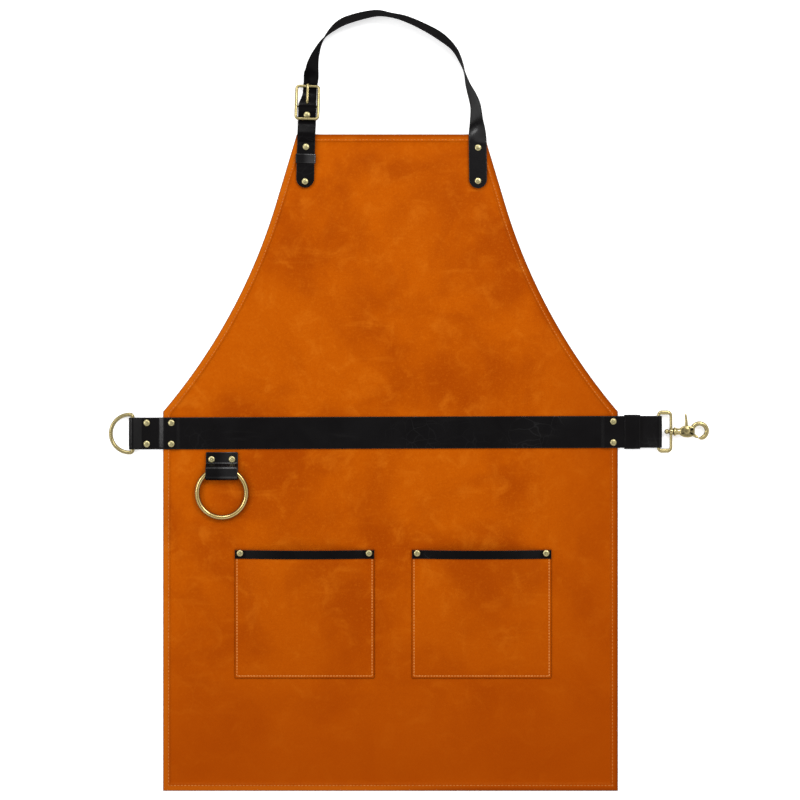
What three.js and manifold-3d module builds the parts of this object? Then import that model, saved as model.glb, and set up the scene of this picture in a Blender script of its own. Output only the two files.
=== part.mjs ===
// A leather work apron laid flat with its face up: bib and skirt in one hide, two patch pockets,
// a waist belt between a D-ring and a trigger snap, a hanging ring in a tab, and a buckled neck strap.
// Millimetres. X runs across the apron, Y from the hem up to the bib, Z up from the surface it lies on.
// While it is drawn, the hem lies on Y = 0 and the apron's middle on X = 0.

import * as THREE from 'three';
import { mergeVertices } from 'three/addons/utils/BufferGeometryUtils.js';
import Module from 'manifold-3d';

const wasm = await Module();
wasm.setup();

const radians = THREE.MathUtils.degToRad;
const GAP = 0.3;

// Apron sheet: a hide with its edge turned over once as a hem
const APRON_HEIGHT = 820;
const SKIRT_WIDTH = 568;
const BIB_WIDTH = 234;
const BIB_SIDE_SLOPE = radians(16.7);
const BIB_SIDE_HEIGHT = 87.5;
const ARMHOLE_RADIUS = 718;
const ARMHOLE_STEPS = 8;
const HIDE = 1.8;
const HEM_TOP = 3.4;
const HEM_ROUNDING = 0.8;
const HEM_SECTION = [
  { inset: HEM_ROUNDING, z: 0 },
  { inset: 0, z: HEM_ROUNDING },
  { inset: 0, z: HEM_TOP - HEM_ROUNDING },
  { inset: HEM_ROUNDING, z: HEM_TOP },
  { inset: 8.5, z: HEM_TOP },
  { inset: 11, z: HIDE },
];

// Pockets: panels sewn at the sides and bottom, with a mouth that stands a little open
const POCKET_WIDTH = 174;
const POCKET_HEIGHT = 161;
const POCKET_TOP = 302;
const POCKET_HIDE = 1.6;
const POCKET_MARGIN = 13;
const POCKET_GAPE = 9;
const POCKET_SEAT = HIDE + GAP;
const POCKETS = [
  { name: 'left', x: -107.3 },
  { name: 'right', x: 113.7 },
];
const TRIM_LENGTH = 174;
const TRIM_WIDTH = 10.8;
const TRIM_DROP = 1.2;
const TRIM_HIDE = 1.2;
const TRIM_RIVET_INSET = 6.5;
const TRIM_RIVET_DROP = 5;

// Rivets: a domed head, a post and a flat cap let into the underside
const RIVET = { head: 4.25, rise: 1.8, post: 1.5, cap: 3.75, capDepth: 0.8, sides: 10, seat: 0.2 };
const DRILL_CLEARANCE = 0.3;

// Waist belt: one strap, folded back round a metal bar at each end
const BELT_Y = 447.4;
const BELT_RISE = 0.0033;
const BELT_WIDTH = 40;
const BELT_HIDE = 2;
const BELT_ON_SHEET = HIDE + GAP + BELT_HIDE / 2;
const BELT_ON_HEM = HEM_TOP + GAP + BELT_HIDE / 2;
const BELT_LAP = 2 * BELT_HIDE - BELT_HIDE / 2 + GAP;
const BELT_RIVET_SPREAD = 13.1;
const RING_END = { barX: -321.7, flapX: -298, flapZ: 1, lapX: -310.5 };
const SNAP_END = { barX: 334.4, flapX: 289.5, flapZ: 2.4, lapX: 314 };
const BELT_RIVETS = [
  { x: -304.1, top: BELT_LAP + BELT_HIDE / 2 },
  { x: -273.3, top: BELT_ON_HEM + BELT_HIDE / 2 },
  { x: 277.9, top: BELT_ON_HEM + BELT_HIDE / 2 },
];
const BELT_LINE = [
  { x: -299, z: BELT_LAP },
  { x: -286, z: BELT_ON_HEM },
  { x: -268, z: BELT_ON_HEM },
  { x: -262, z: BELT_ON_SHEET },
  { x: 262, z: BELT_ON_SHEET },
  { x: 268, z: BELT_ON_HEM },
];
const BELT_KEEPER = { x: 301.6, width: 19.5, hide: 1.1 };

// D-ring at the left end of the belt
const D_RING = { wire: 5, bar: 20.25, half: 23.7, leg: 3.9, sides: 8, fall: radians(4.4) };

// Trigger snap at the right end of the belt, drawn from the middle of the bar in the belt's fold
const SNAP_FRAME = {
  bar: 4, leg: 5.4, depth: 4.4, end: 3.6, half: 23.8, reach: 15.35, corner: 4.2, sides: 8,
};
const SNAP_SHIFT = 0.3;
const SWIVEL = { boss: 4.5, bossLength: 4.6, bore: 2.1, post: 1.75, ball: 3.2, sides: 12 };
const SWIVEL_COLLAR = [
  { x: 17.95, r: 4.4 },
  { x: 19.2, r: 5.3 },
  { x: 20.8, r: 5.3 },
  { x: 24, r: 4.1 },
  { x: 29, r: 4.1 },
];
const HOOK_DEPTH = 9;
const HOOK_BODY = [
  { x: 26.6, half: 4.2 },
  { x: 29.6, half: 6.2 },
  { x: 34.6, half: 7.4 },
  { x: 39.5, half: 6.8 },
  { x: 44, half: 5.4 },
];
const EYE = { x: 50.9, y: 0.9, radius: 9.2, wire: 5.2, from: radians(160), to: radians(-90), steps: 16 };
const PIVOT = { x: 34.6, y: 1.25, boss: 4.3, bossDepth: 9.8, pin: 1.2, bore: 1.5, sides: 12 };
const TRIGGER_DEPTH = 2.8;
const TRIGGER_SLOT = 3.4;
const TRIGGER_HUB = 3.9;
const THUMB = { tipX: 33.5, tipY: 22.5, root: 5, tip: 2.3 };
const GATE = {
  from: radians(200), to: radians(258), inner: 7, outer: 11.2, tip: 9, steps: 5, link: { x: 0.83, y: 1.82 },
};
const THUMB_WAY = { x0: 29.7, x1: 38.9, y1: 12 };
const GATE_WAY = { x0: 30.4, x1: 47, y0: -14, y1: 3 };

// Ring tab below the belt, and the round ring that it holds
const TAB = { x: -210.3, width: 40, top: 423.1, hide: 2, foldY: 393.6, humpY: 405.6, flatY: 409.4 };
const TAB_RIVETS = { y: 414.2, spread: 12.75 };
const HANG_RING = { radius: 30.6, wire: 6.5, y: 372.1, sides: 8, steps: 28 };

// Neck strap and the short strap that carries the buckle
const NECK_WIDTH = 22.5;
const NECK_HIDE = 1.7;
const NECK_ON_HEM = HEM_TOP + GAP;
const LEFT_ANCHOR = { x: -105.3, y: 803.75, lean: radians(1.7) };

// Along the left anchor, from its upper rivet towards the buckle
const BUCKLE_STRAP = {
  end: -50.6, lowRivet: -43.1, stepTo: -30, stepFrom: -24, bibTop: 18, lowered: 28, lead: 44.8, flapEnd: 26,
};
const STRAP_KEEPER = { y: -14.6, width: 11.4, hide: 1 };
const NECK_ON_KEEPER = NECK_ON_HEM + STRAP_KEEPER.hide + GAP;
const BUCKLE = {
  wire: 3.8, half: 13.8, lowBar: 34.6, highBar: 75.9, lowZ: 9.5, highZ: 4.6, corner: 3, sides: 8,
};
const CENTRE_BAR = { y: 50.6, z: 3.3, wire: 2.6, half: 13, sides: 8 };
const STUD = { y: 39.9, top: 5.7 };
const TONGUE = {
  width: 3.2, curl: 1.2, curlFrom: radians(110), shaft: 2.2, slot: 4.4, slotFrom: 46.4, slotTo: 55.4,
};
const TONGUE_LINE = [
  { y: 53, z: 5.6, thick: 1.6 },
  { y: 53.7, z: 7.8, thick: 2 },
  { y: 55, z: 9.2, thick: TONGUE.shaft },
  { y: 57.4, z: 9.6, thick: TONGUE.shaft },
  { y: 73, z: 8.4, thick: TONGUE.shaft },
  { y: 75.8, z: 8, thick: 2 },
  { y: 78.1, z: 7.5, thick: 1.3 },
];

// The strap's free end over the short strap, its underside given along the left anchor
const TAIL = [
  { y: 6.9, base: 7 },
  { y: 18, base: 7 },
  { y: 28.5, base: 4 },
  { y: 44.3, base: 4 },
  { y: 49, base: 6.9 },
  { y: 53, base: 6.9 },
  { y: 66, base: 0.6 },
  { y: 74, base: 0.6 },
];
const TAIL_HOLE = { half: 2.6, from: 50.8, to: 58, low: 3, high: 10 };

// The loop: its middle line, its roll from flat towards its outer edge up, and its lower edge's height
const LOOP = [
  { x: -102.5, y: 884, roll: 0, base: 0.6 },
  { x: -98.4, y: 894, roll: 39, base: 0.2 },
  { x: -96.5, y: 906, roll: 56, base: 0 },
  { x: -92, y: 920.5, roll: 76, base: 0 },
  { x: -83.6, y: 937, roll: 96, base: 0 },
  { x: -66.9, y: 954, roll: 119, base: 0 },
  { x: -50.4, y: 962.4, roll: 125, base: 0 },
  { x: -19.4, y: 969.6, roll: 121, base: 0 },
  { x: 0, y: 967.2, roll: 114, base: 0 },
  { x: 18, y: 963, roll: 118, base: 0 },
  { x: 39.8, y: 953.6, roll: 121, base: 0 },
  { x: 61.6, y: 941.2, roll: 124, base: 0 },
  { x: 79, y: 925.4, roll: 113, base: 0 },
  { x: 87.8, y: 908.4, roll: 103, base: 0 },
  { x: 92.6, y: 893.6, roll: 92, base: 0 },
  { x: 96.3, y: 880, roll: 81, base: 0 },
  { x: 102.4, y: 865, roll: 67, base: 0 },
  { x: 106, y: 853, roll: 59, base: 0 },
  { x: 107, y: 835.6, roll: 46, base: 1.5 },
  { x: 108, y: 822, roll: 24, base: 3.7 },
  { x: 108.8, y: 808.5, roll: 0, base: NECK_ON_HEM },
];
const LOOP_STEPS = 2;
const RIGHT_ANCHOR = { x: 109.2, topRivet: 802.9, lowRivet: 761.4, end: 752.4 };
const ROUND_END_STEPS = 4;

const tanLeather = { color: 0xbf5710, roughness: 0.42, metalness: 0 };
const blackLeather = { color: 0x151213, roughness: 0.38, metalness: 0 };
const brass = { color: 0xc8a95e, roughness: 0.28, metalness: 1 };
const paleBrass = { color: 0xd9c684, roughness: 0.3, metalness: 1 };

const point = (x, y, z) => new THREE.Vector3(x, y, z);
const AXIS_X = point(1, 0, 0);
const AXIS_Y = point(0, 1, 0);
const AXIS_Z = point(0, 0, 1);

// Solids and their cutting

function solidOf(geometry) {
  const bare = geometry.clone();
  bare.deleteAttribute('normal');
  bare.deleteAttribute('uv');
  const merged = mergeVertices(bare, 1e-4);
  const corners = [];
  for (let i = 0; i < merged.index.count; i += 3) {
    const [a, b, c] = [0, 1, 2].map((k) => merged.index.getX(i + k));
    if (a !== b && b !== c && c !== a) corners.push(a, b, c);
  }
  return new wasm.Manifold(new wasm.Mesh({
    numProp: 3,
    vertProperties: new Float32Array(merged.attributes.position.array),
    triVerts: new Uint32Array(corners),
  }));
}

function geometryOf(solid) {
  const mesh = solid.getMesh();
  const geometry = new THREE.BufferGeometry();
  geometry.setAttribute('position', new THREE.BufferAttribute(mesh.vertProperties, 3));
  geometry.setIndex(new THREE.BufferAttribute(mesh.triVerts, 1));
  geometry.computeVertexNormals();
  return geometry;
}

function fuse(first, ...others) {
  return geometryOf(others.reduce((whole, other) => whole.add(solidOf(other)), solidOf(first)));
}

function cut(body, ...tools) {
  return geometryOf(tools.reduce((rest, tool) => rest.subtract(solidOf(tool)), solidOf(body)));
}

// A closed solid skinned over rings of equal length, capped at both ends unless they close on themselves
function loft(rings, { closed = false, startOutline, endOutline }) {
  const count = rings[0].length;
  const bands = closed ? rings.length : rings.length - 1;
  const corners = [];
  for (let r = 0; r < bands; r += 1) {
    const near = r * count;
    const far = ((r + 1) % rings.length) * count;
    for (let i = 0; i < count; i += 1) {
      const j = (i + 1) % count;
      corners.push(near + i, near + j, far + j, near + i, far + j, far + i);
    }
  }
  if (!closed) {
    const last = (rings.length - 1) * count;
    for (const [a, b, c] of THREE.ShapeUtils.triangulateShape(startOutline, [])) corners.push(a, c, b);
    for (const [a, b, c] of THREE.ShapeUtils.triangulateShape(endOutline, [])) {
      corners.push(last + a, last + b, last + c);
    }
  }
  const geometry = new THREE.BufferGeometry().setFromPoints(rings.flat());
  geometry.setIndex(corners);
  geometry.computeVertexNormals();
  return geometry;
}

// A section carried through stations; each has a place, the section's two directions and their stretch
function sweep(stations, section, closed = false) {
  const rings = stations.map(({ at, side, up, wide = 1, deep = 1 }) => section.map(
    (p) => at.clone().addScaledVector(side, p.x * wide).addScaledVector(up, p.y * deep),
  ));
  return loft(rings, { closed, startOutline: section, endOutline: section });
}

// A section carried along a path that turns only about one direction, with mitred corners
function band(path, across, section, closed = false) {
  const count = path.length;
  const legs = path.map(({ at }, i) => path[(i + 1) % count].at.clone().sub(at).normalize());
  const stations = path.map(({ at, wide = 1, deep = 1 }, i) => {
    const before = closed || i > 0 ? legs[(i + count - 1) % count] : legs[i];
    const after = closed || i < count - 1 ? legs[i] : before;
    const up = before.clone().add(after).normalize().cross(across).normalize();
    const mitre = Math.sqrt((1 + before.dot(after)) / 2);
    return { at, side: across, up, wide, deep: deep / mitre };
  });
  return sweep(stations, section, closed);
}

function flatSection(width, thick) {
  const [w, t] = [width / 2, thick / 2];
  return [[-w, -t], [w, -t], [w, t], [-w, t]].map(([x, y]) => new THREE.Vector2(x, y));
}

function roundSection(radius, sides) {
  return Array.from({ length: sides }, (_, i) => {
    const angle = ((i + 0.5) / sides) * 2 * Math.PI;
    return new THREE.Vector2(radius * Math.cos(angle), radius * Math.sin(angle));
  });
}

// Points of an arc in a plane, both ends included
function arc(cx, cy, radius, from, to, steps) {
  return Array.from({ length: steps + 1 }, (_, i) => {
    const angle = from + ((to - from) * i) / steps;
    return new THREE.Vector2(cx + radius * Math.cos(angle), cy + radius * Math.sin(angle));
  });
}

// A plate of a plain outline, lying level between two heights
function plate(outline, low, high) {
  const upwards = { depth: high - low, bevelEnabled: false };
  return new THREE.ExtrudeGeometry(new THREE.Shape(outline), upwards).translate(0, 0, low);
}

function block(x0, x1, y0, y1, z0, z1) {
  return new THREE.BoxGeometry(x1 - x0, y1 - y0, z1 - z0)
    .translate((x0 + x1) / 2, (y0 + y1) / 2, (z0 + z1) / 2);
}

function uprightCylinder(x, y, radius, low, high, sides) {
  return new THREE.CylinderGeometry(radius, radius, high - low, sides)
    .rotateX(Math.PI / 2)
    .translate(x, y, (low + high) / 2);
}

// A strap's side view where it turns back round a bar: along the flap, under and round the bar, and up to
// the place where its upper layer lies straight again; s runs towards the bar
function foldLine({ flapS, flapZ, barS, radius, leadS, leadZ, steps = 8 }) {
  const barZ = flapZ + radius;
  const towards = Math.atan2(leadZ - barZ, leadS - barS) + 2 * Math.PI;
  const leave = (towards % (2 * Math.PI)) - Math.acos(radius / Math.hypot(leadS - barS, leadZ - barZ));
  const turn = arc(barS, barZ, radius, -Math.PI / 2, leave, steps);
  return [new THREE.Vector2(flapS, flapZ), ...turn, new THREE.Vector2(leadS, leadZ)];
}

// The half-round end of a strap, as stations that narrow towards its tip
function roundEnd(width) {
  return Array.from({ length: ROUND_END_STEPS }, (_, i) => {
    const angle = ((i + 1) / (ROUND_END_STEPS + 0.4)) * (Math.PI / 2);
    return { reach: (width / 2) * Math.sin(angle), wide: Math.cos(angle) };
  });
}

// A rectangle with round corners, as points in order
function roundedRectangle(x0, x1, y0, y1, radius) {
  const quarter = Math.PI / 2;
  const steps = 3;
  return [
    ...arc(x1 - radius, y0 + radius, radius, -quarter, 0, steps),
    ...arc(x1 - radius, y1 - radius, radius, 0, quarter, steps),
    ...arc(x0 + radius, y1 - radius, radius, quarter, 2 * quarter, steps),
    ...arc(x0 + radius, y0 + radius, radius, 2 * quarter, 3 * quarter, steps),
  ];
}

function spread(from, to, steps) {
  return Array.from({ length: steps + 1 }, (_, i) => from + ((to - from) * i) / steps);
}

// A thin panel over a level rectangle, its underside at a given height for each place
function panel(xs, ysFromTop, under, thick) {
  const rings = ysFromTop.map((y) => [
    ...xs.map((x) => point(x, y, under(x, y))),
    ...[...xs].reverse().map((x) => point(x, y, under(x, y) + thick)),
  ]);
  const outlineOf = (ring) => ring.map((p) => new THREE.Vector2(p.x, p.z));
  return loft(rings, { startOutline: outlineOf(rings[0]), endOutline: outlineOf(rings.at(-1)) });
}

// Rivets

function rivet({ x, y, top }) {
  const { head, rise, post, cap, capDepth, sides, seat } = RIVET;
  const under = top + seat;
  const profile = [
    { r: 0, z: 0 },
    { r: cap, z: 0 },
    { r: cap, z: capDepth },
    { r: post, z: capDepth },
    { r: post, z: under },
    { r: head, z: under },
    { r: head, z: under + 0.3 * rise },
    { r: 0.75 * head, z: under + 0.8 * rise },
    { r: 0.35 * head, z: under + rise },
    { r: 0, z: under + rise },
  ];
  const geometry = new THREE.LatheGeometry(profile.map(({ r, z }) => new THREE.Vector2(r, z)), sides);
  return geometry.rotateX(Math.PI / 2).translate(x, y, 0);
}

// A leather layer with the holes of the rivets that pass through it, and a seat for each cap
function drilled(layer, rivets) {
  const { post, cap, capDepth, sides } = RIVET;
  const holes = rivets.flatMap(({ x, y, top }) => [
    uprightCylinder(x, y, post + DRILL_CLEARANCE, -1, top + 1, sides),
    uprightCylinder(x, y, cap + DRILL_CLEARANCE, -1, capDepth + DRILL_CLEARANCE, sides),
  ]);
  return cut(layer, ...holes);
}

const pocketRivets = POCKETS.flatMap(({ x }) => [-1, 1].map((side) => ({
  x: x + side * (POCKET_WIDTH / 2 - TRIM_RIVET_INSET),
  y: POCKET_TOP - TRIM_RIVET_DROP,
  top: POCKET_SEAT + POCKET_HIDE + GAP + TRIM_HIDE,
})));

const beltY = (x) => BELT_Y + BELT_RISE * x;
const beltRivets = BELT_RIVETS.flatMap(({ x, top }) => [1, -1].map(
  (side) => ({ x, y: beltY(x) + side * BELT_RIVET_SPREAD, top }),
));
const beltBodyRivets = beltRivets.slice(2);

const tabRivets = [-1, 1].map((side) => ({
  x: TAB.x + side * TAB_RIVETS.spread,
  y: TAB_RIVETS.y,
  top: HIDE + 2 * (GAP + TAB.hide),
}));

const leftFrame = new THREE.Matrix4()
  .makeRotationZ(-LEFT_ANCHOR.lean)
  .setPosition(LEFT_ANCHOR.x, LEFT_ANCHOR.y, 0);
const alongLeft = (y) => point(0, y, 0).applyMatrix4(leftFrame);
const leftRivet = (y, top) => ({ x: alongLeft(y).x, y: alongLeft(y).y, top });
const buckleRivets = [
  leftRivet(0, NECK_ON_KEEPER + NECK_HIDE),
  leftRivet(BUCKLE_STRAP.lowRivet, NECK_ON_HEM + NECK_HIDE),
];
const stud = leftRivet(STUD.y, STUD.top);

const neckRivets = [RIGHT_ANCHOR.topRivet, RIGHT_ANCHOR.lowRivet].map(
  (y) => ({ x: RIGHT_ANCHOR.x, y, top: NECK_ON_HEM + NECK_HIDE }),
);

// Apron sheet

function sheetOutline(inset) {
  const half = SKIRT_WIDTH / 2 - inset;
  const top = APRON_HEIGHT - inset;
  const slopeEndX = BIB_WIDTH / 2 + BIB_SIDE_HEIGHT * Math.tan(BIB_SIDE_SLOPE);
  const centreX = slopeEndX + ARMHOLE_RADIUS * Math.cos(BIB_SIDE_SLOPE);
  const centreY = APRON_HEIGHT - BIB_SIDE_HEIGHT + ARMHOLE_RADIUS * Math.sin(BIB_SIDE_SLOPE);
  const radius = ARMHOLE_RADIUS + inset;
  const hip = Math.acos((centreX - half) / radius);
  const armhole = arc(centreX, centreY, radius, Math.PI + hip, Math.PI + BIB_SIDE_SLOPE, ARMHOLE_STEPS);
  const slopeEnd = armhole.at(-1);
  const cornerX = slopeEnd.x - (top - slopeEnd.y) * Math.tan(BIB_SIDE_SLOPE);
  const right = [new THREE.Vector2(half, inset), ...armhole, new THREE.Vector2(cornerX, top)];
  const left = right.map((p) => new THREE.Vector2(-p.x, p.y)).reverse();
  return [...right, ...left];
}

function apronBody() {
  const rings = HEM_SECTION.map(({ inset, z }) => sheetOutline(inset).map((p) => point(p.x, p.y, z)));
  const sheet = loft(rings, {
    startOutline: sheetOutline(HEM_SECTION[0].inset),
    endOutline: sheetOutline(HEM_SECTION.at(-1).inset),
  });
  return drilled(sheet, [...pocketRivets, ...beltBodyRivets, ...tabRivets, ...buckleRivets, ...neckRivets]);
}

// Pockets

function pocketColumns(middle, length) {
  const inner = POCKET_WIDTH / 2 - POCKET_MARGIN;
  return [-length / 2, ...spread(-inner, inner, 8), length / 2].map((x) => middle + x);
}

function pocketUnderside(middle) {
  return (x, y) => {
    const across = Math.min(1, Math.abs(x - middle) / (POCKET_WIDTH / 2 - POCKET_MARGIN));
    const down = (POCKET_TOP - y) / POCKET_HEIGHT;
    return POCKET_SEAT + POCKET_GAPE * (1 - across ** 2) * Math.max(0, 1 - down) ** 1.5;
  };
}

function pocketPanel({ x }) {
  const rows = spread(POCKET_TOP, POCKET_TOP - POCKET_HEIGHT, 6);
  const sheet = panel(pocketColumns(x, POCKET_WIDTH), rows, pocketUnderside(x), POCKET_HIDE);
  return drilled(sheet, pocketRivets);
}

function pocketTrim({ x }) {
  const under = pocketUnderside(x);
  const top = POCKET_TOP - TRIM_DROP;
  const seat = (px, py) => under(px, py) + POCKET_HIDE + GAP;
  const strip = panel(pocketColumns(x, TRIM_LENGTH), [top, top - TRIM_WIDTH], seat, TRIM_HIDE);
  return drilled(strip, pocketRivets);
}

// Waist belt and the pieces at its ends

const foldRadius = (wire, hide) => wire / 2 + GAP + hide / 2;
const RING_BAR_Z = RING_END.flapZ + foldRadius(D_RING.wire, BELT_HIDE);
const SNAP_BAR_Z = SNAP_END.flapZ + foldRadius(SNAP_FRAME.bar, BELT_HIDE);

function waistBelt() {
  const ringFold = foldLine({
    flapS: -RING_END.flapX,
    flapZ: RING_END.flapZ,
    barS: -RING_END.barX,
    radius: foldRadius(D_RING.wire, BELT_HIDE),
    leadS: -RING_END.lapX,
    leadZ: BELT_LAP,
  });
  const snapFold = foldLine({
    flapS: SNAP_END.flapX,
    flapZ: SNAP_END.flapZ,
    barS: SNAP_END.barX,
    radius: foldRadius(SNAP_FRAME.bar, BELT_HIDE),
    leadS: SNAP_END.lapX,
    leadZ: BELT_ON_HEM,
  });
  const path = [
    ...ringFold.map((p) => ({ x: -p.x, z: p.y })),
    ...BELT_LINE,
    ...snapFold.reverse().map((p) => ({ x: p.x, z: p.y })),
  ].map(({ x, z }) => ({ at: point(x, beltY(x), z) }));
  return drilled(band(path, AXIS_Y, flatSection(BELT_WIDTH, BELT_HIDE)), beltRivets);
}

function beltKeeper() {
  const { x, width, hide } = BELT_KEEPER;
  const half = BELT_WIDTH / 2 + GAP + hide / 2;
  const top = BELT_ON_HEM + BELT_HIDE / 2 + GAP + hide / 2;
  const loop = roundedRectangle(-half, half, hide / 2, top, hide);
  const path = loop.map((p) => ({ at: point(x, beltY(x) + p.x, p.y) }));
  return band(path, AXIS_X, flatSection(width, hide), true);
}

function dRing() {
  const { wire, bar, half, leg, sides, fall } = D_RING;
  const bend = half - bar;
  const quarter = Math.PI / 2;
  const loop = [
    ...arc(-bend, bar, bend, 0, quarter, 3),
    ...arc(-leg, 0, half, quarter, 3 * quarter, 16),
    ...arc(-bend, -bar, bend, 3 * quarter, 4 * quarter, 3),
  ];
  const path = loop.map((p) => ({ at: point(p.x, p.y, 0) }));
  return band(path, AXIS_Z, roundSection(wire / 2, sides), true)
    .rotateY(-fall)
    .translate(RING_END.barX, beltY(RING_END.barX), RING_BAR_Z);
}

const atSnap = (geometry) => geometry.translate(
  SNAP_END.barX,
  beltY(SNAP_END.barX) + SNAP_SHIFT,
  SNAP_BAR_Z,
);

const cylinderAlongX = (x, radius, length, sides) => (
  new THREE.CylinderGeometry(radius, radius, length, sides).rotateZ(Math.PI / 2).translate(x, 0, 0)
);

function snapFrame() {
  const { bar, leg, depth, end, half, reach, corner, sides } = SNAP_FRAME;
  const bend = half - D_RING.bar;
  const quarter = Math.PI / 2;
  const steps = 3;
  const { lerp } = THREE.MathUtils;
  const outer = arc(reach - corner, half - corner, corner, 0, quarter, steps).map((p, i) => ({
    x: p.x,
    y: p.y,
    deep: lerp(end, leg, i / steps) / 2,
    wide: depth / 2,
  }));
  const inner = arc(bend, half - bend, bend, quarter, 2 * quarter, steps).map((p, i) => ({
    x: p.x,
    y: p.y,
    deep: lerp(leg, bar, i / steps) / 2,
    wide: lerp(depth, bar, i / steps) / 2,
  }));
  const upper = [...outer, ...inner];
  const lower = upper.map((p) => ({ ...p, y: -p.y })).reverse();
  const path = [...upper, ...lower].map(({ x, y, deep, wide }) => ({ at: point(x, y, 0), deep, wide }));
  const frame = band(path, AXIS_Z, roundSection(1, sides), true);
  const bossed = fuse(frame, cylinderAlongX(reach, SWIVEL.boss, SWIVEL.bossLength, SWIVEL.sides));
  return atSnap(cut(bossed, cylinderAlongX(reach, SWIVEL.bore, 2 * SWIVEL.bossLength, SWIVEL.sides)));
}

// The swivel's ball, post and collar, turned about X
function swivelPost() {
  const { ball, post, bossLength, sides } = SWIVEL;
  const ballFace = SNAP_FRAME.reach - bossLength / 2 - GAP;
  const faceAngle = Math.acos((post + 0.2) / ball);
  const ballX = ballFace - ball * Math.sin(faceAngle);
  const cap = arc(0, ballX, ball, -Math.PI / 2, faceAngle, 6);
  cap[0].x = 0;
  const collar = SWIVEL_COLLAR.map(({ x, r }) => new THREE.Vector2(r, x));
  const profile = [
    ...cap,
    new THREE.Vector2(post, ballFace),
    new THREE.Vector2(post, SWIVEL_COLLAR[0].x),
    ...collar,
    new THREE.Vector2(0, SWIVEL_COLLAR.at(-1).x),
  ];
  return new THREE.LatheGeometry(profile, sides).rotateZ(-Math.PI / 2);
}

function snapHook() {
  const side = (sign) => HOOK_BODY.map(({ x, half }) => new THREE.Vector2(x, sign * half));
  const cheeks = plate([...side(-1), ...side(1).reverse()], -HOOK_DEPTH / 2, HOOK_DEPTH / 2);
  const bossTop = PIVOT.bossDepth / 2;
  const boss = uprightCylinder(PIVOT.x, PIVOT.y, PIVOT.boss, -bossTop, bossTop, PIVOT.sides);
  const eyeLine = arc(EYE.x, EYE.y, EYE.radius, EYE.from, EYE.to, EYE.steps);
  const eye = band(eyeLine.map((p) => ({ at: point(p.x, p.y, 0) })), AXIS_Z, roundSection(EYE.wire / 2, 8));
  const slot = TRIGGER_SLOT / 2;
  const thumbWay = block(THUMB_WAY.x0, THUMB_WAY.x1, 0, THUMB_WAY.y1, -slot, slot);
  const gateWay = block(GATE_WAY.x0, GATE_WAY.x1, GATE_WAY.y0, GATE_WAY.y1, -slot, slot);
  const pin = uprightCylinder(PIVOT.x, PIVOT.y, PIVOT.pin, -HOOK_DEPTH / 3, HOOK_DEPTH / 3, PIVOT.sides);
  const body = cut(fuse(cheeks, boss, swivelPost(), eye), thumbWay, gateWay);
  return atSnap(fuse(body, pin));
}

function snapTrigger() {
  const [low, high] = [-TRIGGER_DEPTH / 2, TRIGGER_DEPTH / 2];
  const hub = uprightCylinder(PIVOT.x, PIVOT.y, TRIGGER_HUB, low, high, PIVOT.sides);
  const thumb = plate([
    new THREE.Vector2(PIVOT.x - THUMB.root / 2, PIVOT.y),
    new THREE.Vector2(PIVOT.x + THUMB.root / 2, PIVOT.y),
    new THREE.Vector2(THUMB.tipX + THUMB.tip / 2, THUMB.tipY),
    new THREE.Vector2(THUMB.tipX - THUMB.tip / 2, THUMB.tipY),
  ], low, high);
  const steps = spread(0, 1, GATE.steps);
  const gateEdge = (start, finish) => steps.map((t) => {
    const angle = GATE.from + (GATE.to - GATE.from) * t;
    const radius = start + (finish - start) * t;
    return new THREE.Vector2(EYE.x + radius * Math.cos(angle), EYE.y + radius * Math.sin(angle));
  });
  const outerEdge = gateEdge(GATE.outer, GATE.tip);
  const innerEdge = gateEdge(GATE.inner, GATE.inner);
  const gate = plate([...outerEdge, ...innerEdge.reverse()], low, high);
  const link = plate([
    new THREE.Vector2(PIVOT.x - GATE.link.x, PIVOT.y - GATE.link.y),
    outerEdge[0],
    innerEdge.at(-1),
    new THREE.Vector2(PIVOT.x + GATE.link.x, PIVOT.y + GATE.link.y),
  ], low, high);
  const bore = uprightCylinder(PIVOT.x, PIVOT.y, PIVOT.bore, 2 * low, 2 * high, PIVOT.sides);
  return atSnap(cut(fuse(hub, thumb, gate, link), bore));
}

// Ring tab and hanging ring

const TAB_LOW = HIDE + GAP + TAB.hide / 2;

function ringTab() {
  const radius = foldRadius(HANG_RING.wire, TAB.hide);
  const fold = foldLine({
    flapS: -TAB.top,
    flapZ: TAB_LOW,
    barS: -TAB.foldY,
    radius,
    leadS: -TAB.humpY,
    leadZ: TAB_LOW + 2 * radius,
  });
  const lapped = TAB_LOW + TAB.hide + GAP;
  const line = [
    ...fold.map((p) => ({ y: -p.x, z: p.y })),
    { y: TAB.flatY, z: lapped },
    { y: TAB.top, z: lapped },
  ];
  const path = line.map(({ y, z }) => ({ at: point(TAB.x, y, z) }));
  return drilled(band(path, AXIS_X, flatSection(TAB.width, TAB.hide)), tabRivets);
}

function hangRing() {
  const { radius, wire, y, sides, steps } = HANG_RING;
  const high = HIDE + 2 * GAP + TAB.hide + wire / 2;
  const low = HIDE + GAP + wire / 2;
  return new THREE.TorusGeometry(radius, wire / 2, sides, steps)
    .rotateX(Math.asin((high - low) / (2 * radius)))
    .translate(TAB.x, y, (high + low) / 2);
}

// Neck strap, buckle and the short strap, the last two drawn along the left anchor

const NECK_LAP = 1.5 * NECK_HIDE + GAP;

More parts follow.
